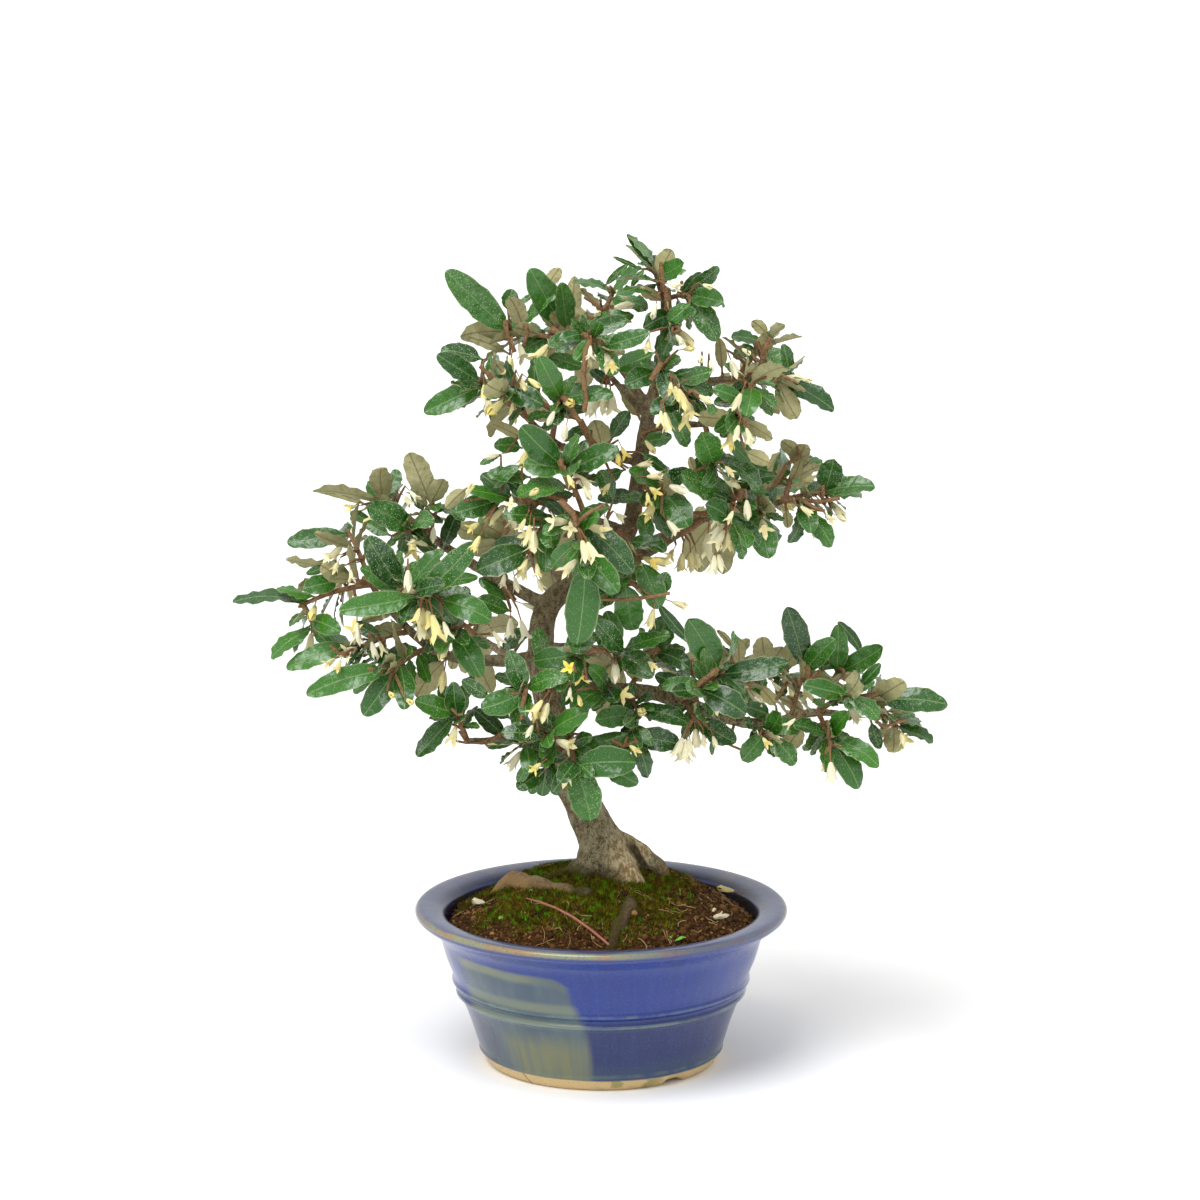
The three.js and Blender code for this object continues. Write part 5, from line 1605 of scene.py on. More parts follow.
# %% Wood finish
def bark_finish():
    net = Finish("old_bark")
    x, y, z = net.parts(net.place)
    grain = net.vector(x * 0.5, y * 0.5, z * 0.2)
    streak = net.noise(grain, 1.0, 6, 0.68)
    fine = net.grain(1.3, 4, 0.7)
    colour = net.mix(net.smooth(streak * 0.55 + fine * 0.45, 0.4, 0.6), (106, 92, 64), (196, 184, 146))
    colour = net.mix(net.spots(0.12, 0.48, 0.62, 5) * 0.45, colour, (206, 196, 160))
    colour = net.mix(net.spots(0.3, 0.58, 0.68, 4) * 0.4, colour, (124, 88, 54))
    colour = net.mix(net.spots(1.0, 0.58, 0.65, 4) * 0.7, colour, (46, 36, 22))
    lichen = net.dots(0.6, 0.24) * net.spots(0.1, 0.45, 0.6)
    colour = net.mix(lichen * 0.7, colour, (190, 188, 158))
    sunk = net.smooth(-y, 20, 26) * net.smooth(x, 1, 4)
    foot = net.fade(z, 104, 130) * (1 - sunk)
    # Pale streaky wood on the front right face of the foot, lightened further as a painted highlight where
    # that face catches the light.
    face = net.smooth(x - y * 0.4, 4, 16) * net.fade(x, 22, 27)
    pale = net.mix(net.smooth(streak, 0.42, 0.58), (186, 152, 100), (250, 234, 190))
    colour = net.mix(foot * face * net.smooth(z, 86, 94) * 0.9, colour, pale)
    root = net.smooth(abs(x - 8), 16, 24) * net.fade(z, 92, 104)
    colour = net.mix(root * 0.85, colour, net.mix(streak, (84, 60, 32), (186, 146, 98)))
    tip = net.smooth(-x, 33, 38) * net.fade(z, 92, 100)
    colour = net.mix(tip * 0.6, colour, net.mix(fine, (176, 136, 84), (226, 188, 132)))
    thin = net.smooth(z, 175, 260)
    colour = net.mix(thin * 0.5, colour, (104, 82, 60))
    # Painted shade: a dark line down the crevice between the trunk and the right root.
    aside = abs(x - 18.5 + (z - 104) * 0.62)
    painted_crease_shade = net.fade(aside, 1.2, 3.2) * net.smooth(z, 95, 99) * net.fade(z, 108, 113)
    colour = net.mix(painted_crease_shade * 0.85, colour, (40, 36, 18))
    base = net.fade(z + net.grain(0.2, 3) * 14, 104, 111)
    low = base * net.fade(abs(x + 2), 10, 15)
    colour = net.mix(low * 0.75, colour, (48, 40, 20))
    moss = low * net.spots(0.25, 0.42, 0.6, 4)
    buried = net.smooth(-x, 2, 6) * net.fade(-x, 26, 34) * net.smooth(y, -14, -10)
    moss = net.most(moss * 0.75, buried * net.fade(z, 98, 103) * 0.9)
    colour = net.mix(sunk * 0.8, colour, net.mix(fine, (44, 30, 14), (110, 82, 50)))
    green = net.mix(fine, (40, 40, 6), (104, 104, 22))
    colour = net.mix(moss, colour, green)
    height = streak + net.grain(0.6, 6, 0.7) * 1.4
    return net.surface(colour, 0.86, height, 2.2, Specular_IOR_Level=0.2)


OLD_BARK = bark_finish()

# %% Make the wood
VOXEL = 0.85
LIMB_TAPER = 0.6
# Heights in mm: the bark is smooth above the first and roughest that much further down, the
# foot is slim below the third, and the trunk leans between the last two
SMOOTH_WOOD_HEIGHT = 190
ROUGHENING = 110
FOOT_HEIGHT = 145
LEAN_HEIGHTS = (100, 165)
FOOT_SLIMMING = 0.12
TRUNK_LEAN = 1.7


def limb_path(samples):
    path = [(row["point"], row["radius"]) for row in samples]
    last = samples[-1]
    tip = last["point"] + last["along"] * LIMB_TAPER * last["radius"]
    return path + [(tip, last["radius"] * 0.4)]


def apply_modifier(obj, kind, **settings):
    modifier = obj.modifiers.new(kind, kind)
    for key, value in settings.items():
        setattr(modifier, key, value)
    bpy.context.view_layer.update()
    graph = bpy.context.evaluated_depsgraph_get()
    mesh = bpy.data.meshes.new_from_object(obj.evaluated_get(graph), depsgraph=graph)
    obj.modifiers.clear()
    obj.data = mesh


def read_points(mesh, field="co"):
    values = np.zeros(len(mesh.vertices) * 3, np.float32)
    mesh.vertices.foreach_get(field, values)
    return values.reshape(-1, 3).astype(float)


def write_points(mesh, points):
    mesh.vertices.foreach_set("co", points.astype(np.float32).ravel())
    mesh.update()


def raise_bark(obj):
    """Moves each point along its normal: ridges along the limb, lumps and fine grain."""
    points, normals = read_points(obj.data), read_points(obj.data, "normal")
    moves = np.zeros(len(points))
    for index, (x, y, z) in enumerate(points):
        thick = max(0.0, min(1.0, (SMOOTH_WOOD_HEIGHT - z) / ROUGHENING))
        ridge = noise.noise((x * 0.16, y * 0.16, z * 0.045 + 7))
        lump = noise.noise((x * 0.09, y * 0.09, z * 0.09))
        grain = noise.noise((x * 0.55, y * 0.55, z * 0.3))
        moves[index] = (0.15 + 1.5 * thick) * ridge + 0.9 * thick * lump + 0.22 * grain
    write_points(obj.data, points + normals * moves[:, None])


def draw_in_foot(obj):
    """The tree stands slimmer on its right side, and leans out more, than its plain limbs."""
    points = read_points(obj.data)
    height = points[:, 2].copy()
    low = np.clip((FOOT_HEIGHT - height) / 20, 0, 1)
    points[:, 0] -= FOOT_SLIMMING * low * np.maximum(points[:, 0] + 6, 0)
    start, end = LEAN_HEIGHTS
    lean = np.clip((height - start) / 12, 0, 1) * np.clip((end - height) / 20, 0, 1)
    points[:, 0] -= TRUNK_LEAN * lean
    write_points(obj.data, points)


# Flares that flow from the trunk into the right root and the left foot, read like the roots
FLARES = [[(7, 113, -3, 4.4), (15, 108, -4, 4.8), (23, 103, -4, 5), (31, 97, -4, 4.6)],
          [(-3, 104, 5, 6), (-6, 97, 7, 6), (-7, 90, 8, 5)]]
flare_samples = [sample_branch(path) for path in FLARES]
limbs = [limb_path(samples)
         for samples in [trunk_samples, *branch_samples, *root_samples, *flare_samples]]
wood = make_tubes("tree_bark", limbs, 16, 0.0, OLD_BARK)
apply_modifier(wood, "REMESH", mode="VOXEL", voxel_size=VOXEL, use_smooth_shade=True)
apply_modifier(wood, "SMOOTH", factor=0.5, iterations=3)
raise_bark(wood)
draw_in_foot(wood)
wood.data.materials.clear()
wood.data.materials.append(OLD_BARK)
settle(wood, "bark", "tree_wood")

# %% [markdown]
# ## Flowers in front
#
# The flowers that show in the photograph hang in clusters all over the canopy. Each is read off
# the picture: where its stalk starts, where its mouth is, its shape and its age. What a
# picture can't tell is how near it is, so each hangs from the twig that passes closest behind
# its place, in front of the leaves there, on a short spur of its own.

# %% Flowers read off the photograph
# Pixels of the stalk's start and of the mouth, shape (0 bud, 1 half open, 2 open), age
SEEN_FLOWERS = [
    # Crown, left half
    (556, 336, 532, 362, 1, 0.6), (552, 340, 538, 366, 1, 0.7), (513, 346, 508, 378, 2, 0.7),
    (516, 370, 526, 391, 1, 0.6), (522, 374, 541, 388, 0, 0.7), (484, 376, 484, 399, 2, 0.8),
    (558, 404, 547, 426, 0, 0.0), (568, 417, 563, 443, 0, 0.0), (591, 338, 590, 359, 2, 0.0),
    (612, 354, 612, 369, 2, 0.7), (606, 375, 594, 402, 1, 0.0), (607, 376, 602, 416, 1, 0.1),
    (609, 376, 613, 415, 2, 0.1), (604, 378, 587, 418, 1, 0.0), (607, 380, 606, 402, 0, 0.1),
    (604, 309, 635, 304, 0, 0.1), (610, 286, 628, 299, 0, 0.1), (592, 318, 600, 312, 0, 0.1),
    (650, 332, 647, 351, 2, 0.4), (618, 440, 627, 458, 2, 1.0), (617, 446, 619, 466, 1, 1.0),
    (640, 434, 656, 454, 0, 0.7), (628, 468, 653, 463, 1, 0.3), (638, 477, 664, 476, 1, 0.4),
    (534, 437, 520, 470, 1, 0.8), (506, 453, 484, 458, 0, 0.0), (658, 296, 652, 320, 0, 0.0),
    (662, 282, 681, 288, 1, 0.1), (698, 283, 713, 288, 0, 0.3), (661, 402, 661, 428, 1, 0.4),
    (663, 402, 669, 433, 1, 0.5),
    # Crown, right half
    (673, 377, 679, 402, 2, 0.7), (674, 378, 687, 411, 1, 0.7), (671, 377, 671, 394, 1, 0.6),
    (672, 330, 684, 345, 1, 0.1), (678, 350, 695, 348, 0, 0.6), (702, 352, 700, 363, 0, 0.1),
    (709, 354, 712, 373, 0, 0.1), (727, 350, 738, 379, 1, 0.1), (738, 346, 751, 355, 0, 0.2),
    (693, 391, 712, 404, 0, 0.4), (745, 384, 733, 412, 1, 0.3), (741, 417, 734, 442, 1, 0.2),
    (744, 420, 751, 444, 1, 0.3), (722, 462, 733, 475, 1, 0.3), (794, 378, 813, 381, 0, 0.1),
    # Right, under the crown
    (645, 484, 658, 494, 2, 0.8), (646, 486, 649, 506, 1, 0.8), (660, 482, 689, 493, 0, 0.0),
    (716, 500, 716, 529, 1, 0.1), (709, 520, 706, 561, 1, 0.2), (661, 513, 678, 534, 2, 0.1),
    (746, 490, 748, 521, 0, 0.1), (736, 505, 727, 523, 1, 0.3), (676, 545, 669, 558, 2, 0.5),
    (684, 542, 680, 572, 2, 0.5), (690, 542, 692, 573, 1, 0.5), (695, 545, 699, 569, 1, 0.4),
    (716, 545, 712, 576, 1, 0.1), (717, 545, 722, 573, 1, 0.1), (794, 502, 813, 515, 1, 0.4),
    (822, 511, 834, 522, 1, 0.2), (832, 513, 847, 521, 0, 0.2),
    # Middle
    (529, 511, 519, 532, 2, 0.5), (531, 514, 527, 547, 1, 0.5), (534, 518, 533, 553, 2, 0.3),
    (531, 553, 520, 572, 1, 0.6), (536, 556, 538, 577, 2, 0.5), (506, 568, 502, 588, 1, 0.1),
    (513, 570, 518, 593, 1, 0.1), (535, 573, 543, 591, 1, 0.2), (515, 601, 538, 609, 1, 0.0),
    (511, 608, 510, 639, 1, 0.0), (517, 608, 527, 641, 2, 0.0), (579, 529, 588, 563, 1, 0.3),
    (581, 531, 598, 561, 2, 0.3), (565, 469, 573, 487, 1, 0.6), (580, 479, 591, 501, 0, 0.1),
    (613, 479, 603, 493, 1, 0.6), (603, 509, 608, 531, 2, 0.0), (613, 511, 623, 519, 1, 0.0),
    (525, 498, 539, 489, 0, 0.6), (515, 507, 510, 504, 2, 0.0), (656, 599, 649, 629, 1, 0.6),
    (664, 599, 688, 607, 1, 0.4), (576, 672, 567, 667, 2, 1.0), (571, 681, 569, 701, 1, 0.1),
    (577, 690, 581, 707, 0, 0.8), (645, 659, 655, 668, 1, 0.4),
    # Left
    (398, 489, 412, 506, 2, 0.1), (405, 486, 419, 501, 1, 0.1), (362, 505, 346, 508, 1, 0.6),
    (436, 549, 411, 539, 1, 0.3), (427, 534, 408, 546, 2, 0.3), (464, 501, 473, 483, 0, 0.5),
    (485, 519, 468, 530, 2, 0.8), (484, 528, 472, 552, 1, 0.8), (343, 554, 325, 558, 2, 0.3),
    (341, 557, 333, 572, 1, 0.3), (350, 563, 352, 583, 1, 0.2), (408, 559, 408, 593, 0, 0.0),
    (357, 611, 357, 646, 1, 0.0), (423, 599, 414, 624, 2, 0.8), (426, 600, 430, 629, 2, 0.8),
    (429, 600, 439, 644, 1, 0.8), (421, 602, 422, 641, 1, 0.2), (440, 612, 450, 641, 1, 0.1),
    (341, 654, 325, 666, 2, 0.5), (343, 655, 336, 671, 1, 0.6), (446, 660, 441, 693, 1, 0.7),
    (369, 632, 377, 662, 0, 0.0), (376, 634, 385, 656, 1, 0.3), (434, 519, 433, 544, 0, 0.0),
    (387, 690, 394, 697, 0, 0.8), (404, 697, 413, 704, 0, 0.7), (488, 624, 503, 646, 1, 0.1),
    # Low
    (549, 691, 531, 716, 2, 0.7), (552, 693, 541, 723, 1, 0.4), (536, 719, 526, 738, 1, 0.1),
    (579, 734, 567, 746, 1, 0.7), (546, 759, 532, 771, 2, 0.8), (625, 742, 639, 753, 1, 0.7),
    # Right arm
    (687, 727, 674, 759, 1, 0.1), (688, 727, 684, 763, 2, 0.1), (689, 728, 690, 759, 1, 0.1),
    (703, 729, 704, 747, 1, 0.1), (711, 730, 717, 749, 0, 0.1), (750, 691, 763, 708, 1, 0.1),
    (760, 734, 769, 746, 1, 0.6), (801, 714, 784, 728, 1, 0.1), (830, 750, 832, 786, 1, 0.0),
    (899, 727, 904, 746, 1, 0.4), (769, 679, 781, 691, 0, 0.1),
]
FRONT_NEARNESS = 0.1
COVER_SHARES = (0.4, 0.6, 0.8, 1.0)
SHORTEST_FLOWER = 11.0
FLOWER_AHEAD = 2.0
COVER_REACH = 3.0
DEEPEST_SHIFT = 24.0
FRONT_LEAVES = [leaf for shoot in shoots for leaf in shoot["leaf"]] + seen_leaves
LEAF_BOARD = on_board(np.concatenate([leaf_cloud(leaf)[0] for leaf in FRONT_LEAVES]))


def front_over(nearest, spots, ahead, limit):
    """How far in front a thing must be to show at its spots, within a limit of its twig."""
    twig_front = TWIG_BOARD[nearest, 2]
    covering = [twig_front]
    for spot in spots:
        beside = ((LEAF_BOARD[:, :2] - spot) ** 2).sum(1) < COVER_REACH ** 2
        covering.extend(LEAF_BOARD[beside, 2])
    return min(max(covering) + ahead, twig_front + limit)


def hang_flower(row):
    """The root, direction, size and spur of a flower read off the picture."""
    start, mouth = np.array(board_of(*row[:2])), np.array(board_of(*row[2:4]))
    nearest = nearest_twig(start, FRONT_NEARNESS)
    seen = math.hypot(*(mouth - start))
    out = math.sqrt(max(SHORTEST_FLOWER ** 2 - seen ** 2, 0)) + 0.1 * seen
    spots = [start + (mouth - start) * share for share in COVER_SHARES]
    front = front_over(nearest, spots, FLOWER_AHEAD, DEEPEST_SHIFT)
    root = place(*start, front)
    reach = place(*mouth, front + out) - root
    size = math.sqrt(float(reach @ reach)) / FLOWER_MOUTHS[row[4]]
    return root, unit(reach), size, spur_to(TWIG_POINTS[nearest], root)


draws = Draws(SEED + 3)
rows = []
for row in SEEN_FLOWERS:
    root, along, size, spur = hang_flower(row)
    rows.append((root, along, draws.between(0, math.pi / 2), size, row[4], row[5]))
    spurs.append(spur)
print("sizes of the flowers:", round(min(row[3] for row in rows), 2), "to",
      round(max(row[3] for row in rows), 2))
settle(make_flowers("hanging_flowers", rows), "foliage")

# %% [markdown]
# ### Bare twigs in front
#
# Between the leaves the picture shows knobbly bare wood. The pieces that show best are read off
# it in the same way, as a half thickness and the pixels along the twig. Each starts on the
# grown twig closest behind one of its ends, so nothing hangs in the air.

# %% Twigs read off the photograph
# Half the thickness in pixels, then pixels along the twig
SEEN_TWIGS = [
    # Crown, left half
    (3, (500, 398), (516, 408), (530, 420)), (2.5, (480, 366), (492, 378), (500, 390)),
    (2.5, (515, 352), (508, 336), (505, 322)), (2, (524, 345), (528, 332), (526, 325)),
    (3.5, (553, 330), (566, 338), (578, 348), (590, 352)), (2, (590, 318), (612, 318)),
    (3, (586, 350), (583, 375), (586, 398), (584, 412)), (3, (566, 400), (573, 412), (580, 422)),
    (4, (580, 420), (590, 440), (600, 452)), (3, (563, 448), (578, 455)),
    (2, (584, 297), (597, 305), (603, 312)), (2.5, (661, 262), (662, 275), (663, 290)),
    (4, (667, 290), (668, 305), (665, 325), (663, 344)), (2, (665, 340), (672, 335), (680, 330)),
    (3, (651, 380), (660, 365)),
    # Crown, right half
    (3.3, (735, 377), (755, 375), (777, 370)), (3.5, (761, 371), (763, 358), (766, 346), (770, 338)),
    (2.5, (762, 356), (757, 341)), (2.5, (757, 362), (750, 353)), (2, (777, 373), (773, 387)),
    (2, (777, 371), (785, 377), (795, 382)), (2.3, (700, 423), (722, 424), (748, 419)),
    (1.5, (742, 420), (740, 427)), (1.5, (745, 420), (748, 427)),
    (1.5, (692, 390), (696, 395), (700, 399)),
    # Right, under the crown
    (2.5, (770, 493), (780, 477), (787, 464), (800, 457)), (2, (800, 457), (797, 446)),
    (2.5, (782, 500), (800, 500), (820, 502), (840, 498)), (1.8, (823, 496), (823, 485)),
    (2, (800, 500), (815, 508), (825, 511)), (3.5, (689, 514), (702, 514), (715, 513)),
    (3, (680, 534), (692, 528), (703, 520)), (1.5, (712, 543), (722, 541)),
    (3, (740, 500), (742, 489)), (2, (742, 513), (757, 510)),
    (2, (602, 600), (620, 600), (648, 597), (670, 593)),
    # Middle
    (3, (560, 462), (566, 478), (571, 490)), (3, (538, 492), (552, 497), (568, 500)),
    (3.5, (521, 499), (535, 515)), (2.5, (575, 497), (574, 483)),
    (3.5, (560, 500), (572, 512), (576, 524)), (2.5, (576, 524), (590, 512), (605, 505)),
    (2.5, (503, 520), (508, 530), (503, 536)), (2.5, (640, 655), (648, 652), (657, 650)),
    # Left
    (2, (432, 530), (434, 515), (440, 508)), (2, (420, 514), (428, 518), (433, 523)),
    (2.5, (366, 578), (380, 588), (395, 594), (410, 597)),
    (2, (330, 645), (338, 653), (350, 655)), (2, (367, 668), (378, 671), (388, 672)),
    (1.5, (312, 602), (322, 595)),
    # Low
    (1.4, (446, 733), (456, 741), (467, 743), (483, 742), (492, 738), (502, 733)),
    (1.2, (459, 731), (466, 742)), (2, (500, 734), (486, 746)),
    (1.5, (452, 709), (458, 715), (463, 714)), (2.5, (526, 690), (523, 705), (522, 719)),
    (2, (584, 663), (586, 680)), (2.5, (611, 740), (622, 746), (637, 742)),
    # Right arm
    (2.5, (692, 660), (694, 682), (697, 702)), (3, (698, 685), (708, 677), (718, 669)),
    (1.5, (730, 745), (747, 752)), (2, (776, 700), (782, 690), (787, 683)),
    (3, (809, 686), (808, 670)), (2, (811, 680), (818, 672)),
    (3.2, (849, 718), (853, 703), (858, 697), (878, 694)),
    (1.8, (876, 722), (885, 727), (895, 723), (908, 720)),
    (1.8, (829, 722), (829, 738), (830, 750)), (1.8, (830, 746), (824, 754)),
    (1.3, (831, 745), (842, 746)), (2, (843, 670), (845, 681)),
]
TWIG_AHEAD = 1.5
DEEPEST_TWIG_SHIFT = 10.0
TWIG_THINNING = 0.25
TWIG_ARCH = 1.2


def seen_twig(row):
    """The path of a twig read off the picture, from the grown twig that carries it."""
    spots = [np.array(board_of(*pixel)) for pixel in row[1:]]
    ends = [nearest_twig(spot, FRONT_NEARNESS) for spot in (spots[0], spots[-1])]
    gaps = [math.hypot(*(TWIG_BOARD[end, :2] - spot))
            for end, spot in zip(ends, (spots[0], spots[-1]))]
    if gaps[1] < gaps[0]:
        spots.reverse()
        ends.reverse()
    front = front_over(ends[0], spots, TWIG_AHEAD, DEEPEST_TWIG_SHIFT)
    radius = row[0] / PIXELS_PER_MM
    thinning = TWIG_THINNING / len(spots)
    carrier, start = TWIG_POINTS[ends[0]], place(*spots[0], front)
    return [(carrier, radius), ((carrier + start) / 2 + UP * TWIG_ARCH, radius)] + [
        (place(*spot, front), radius * (1 - thinning * k)) for k, spot in enumerate(spots)]


bare_twigs = [seen_twig(row) for row in SEEN_TWIGS]
lengths = [float(np.linalg.norm(path[2][0] - path[0][0])) for path in bare_twigs]
print("longest way from a grown twig to a bare one:", round(max(lengths), 1), "mm")
settle(make_tubes("bare_twigs", bare_twigs, 7, 0.3, TWIG_BARK), "bark")
settle(make_tubes("fine_spurs", spurs, 5, 0.1, TWIG_BARK), "bark")

# %% [markdown]
# ## Pot
#
# The pot was thrown on a wheel: a round wall with a rolled lip, two raised beads, a groove above
# the foot and a bare clay foot ring with a shallow notch, and a drain hole below. A profile
# turned about an axis is the natural way to make it. The tree of nodes bends a flat grid round
# the axis and reads each row's radius and height off the profile's own points, so every bead
# keeps its exact place. A slow noise makes the wall a hair uneven, as a thrown wall is.

# %% Pot profile and lathe tree
# Radius and height, from the drain hole out under the foot, up the outside and down the inside
POT_PROFILE = [
    (9, 4), (30, 4), (48, 4), (48.6, 3.4), (49, 0.6), (49.6, 0), (52.5, 0), (55.2, 0),
    (56.2, 0.6), (57.4, 2), (58.6, 4), (59.5, 5.6), (60.3, 6.2), (60.9, 7), (60.9, 7.8),
    (60.6, 8.6), (61.2, 9.8), (62, 12.4), (62.9, 15.3), (63.9, 18.4), (64.9, 21.6), (66, 24.7),
    (67.1, 27.8), (68.2, 30.4), (69.3, 33), (70.1, 34.3), (71.5, 35.1), (72.2, 35.8),
    (72.3, 36.4), (71.9, 37.1), (71.3, 37.9), (71.2, 38.8), (71.5, 39.7), (72.6, 40.5),
    (73.7, 41.2), (74.2, 42), (74.1, 42.7), (73.6, 43.4), (73.5, 44.6), (74, 46.2),
    (75.3, 49.5), (76.7, 52.9), (77.7, 56), (78.6, 59.2), (79.3, 62), (80.2, 64.4),
    (81.6, 66.7), (83.8, 69), (86.8, 71.3), (89.6, 73.2), (91.4, 74.7), (92.2, 75.9),
    (92.4, 77), (92, 78), (91.1, 78.8), (89.8, 79.1), (87, 79), (84, 78.7), (81.4, 78.2),
    (79.4, 77.4), (77.8, 76), (77, 74), (76.9, 71.5), (77, 69), (74.4, 63), (70, 55),
    (64.8, 40), (58.9, 24), (56.6, 17), (52.9, 12), (30, 12), (9, 12), (9, 8), (9, 4),
]
INNER_WALL_ROW = POT_PROFILE.index((77.8, 76))
POT_SIDES = 144
NOTCH_ANGLE = math.radians(39)
NOTCH_WIDTH = math.radians(8)
NOTCH_HEIGHT = 2.2
LOW_BEAD = 36.2
HIGH_BEAD = 42.1
GROOVE = 8.2


def lathe_tree():
    net, sizes = new_tree("turn_profile", [
        ("sides", "NodeSocketInt", 96), ("unevenness", "NodeSocketFloat", 0.3),
        ("notch", "NodeSocketFloat", 0.0), ("finish", "NodeSocketMaterial", None)])
    profile = sizes["Geometry"]
    count = net.node("GeometryNodeAttributeDomainSize", None, {0: profile})
    grid = net.node("GeometryNodeMeshGrid", None, {
        "Size X": 1.0, "Size Y": 1.0, "Vertices X": count, "Vertices Y": sizes["sides"] + 1})
    x, y, _ = net.parts(net.node("GeometryNodeInputPosition"))
    row = net.math("ROUND", (x + 0.5) * (count - 1))
    spot = net.node("GeometryNodeSampleIndex", {"data_type": "FLOAT_VECTOR"}, {
        "Geometry": profile, "Value": net.node("GeometryNodeInputPosition"), "Index": row})
    radius, _, height = net.parts(spot)
    turn = (y + 0.5) * (2 * math.pi)
    east, north = net.sin(turn), -net.cos(turn)
    wobble = net.noise(net.vector(east, north, height * 0.03), 1.2, 2) - 0.5
    reach = radius + wobble * sizes["unevenness"] * 2 * net.smooth(radius, 20.0, 50.0)
    aside = abs(turn - NOTCH_ANGLE)
    notch = (net.fade(aside, NOTCH_WIDTH * 0.4, NOTCH_WIDTH)
             * net.fade(height, 0.5, 6.0) * sizes["notch"])
    marked = store(net, grid, "row", row)
    shaped = net.node("GeometryNodeSetPosition", None, {
        "Geometry": marked, "Position": net.vector(reach * east, reach * north, height + notch)})
    close_tree(net, shaped, sizes["finish"])
    return net.tree


LATHE_TREE = lathe_tree()
print("profile points:", len(POT_PROFILE))

# %% [markdown]
# ### Glaze
#
# The glaze is cobalt blue, brighter under the rim and darker below the beads. It breaks to a
# pale green on the crests of the beads and to beige on the edge of the rim, where it ran thin.
# On the front left a second glaze was poured, which ran down in a grey-green sheet with a clean
# right edge. The foot is bare buff clay. All of it is painted from the height and the angle.

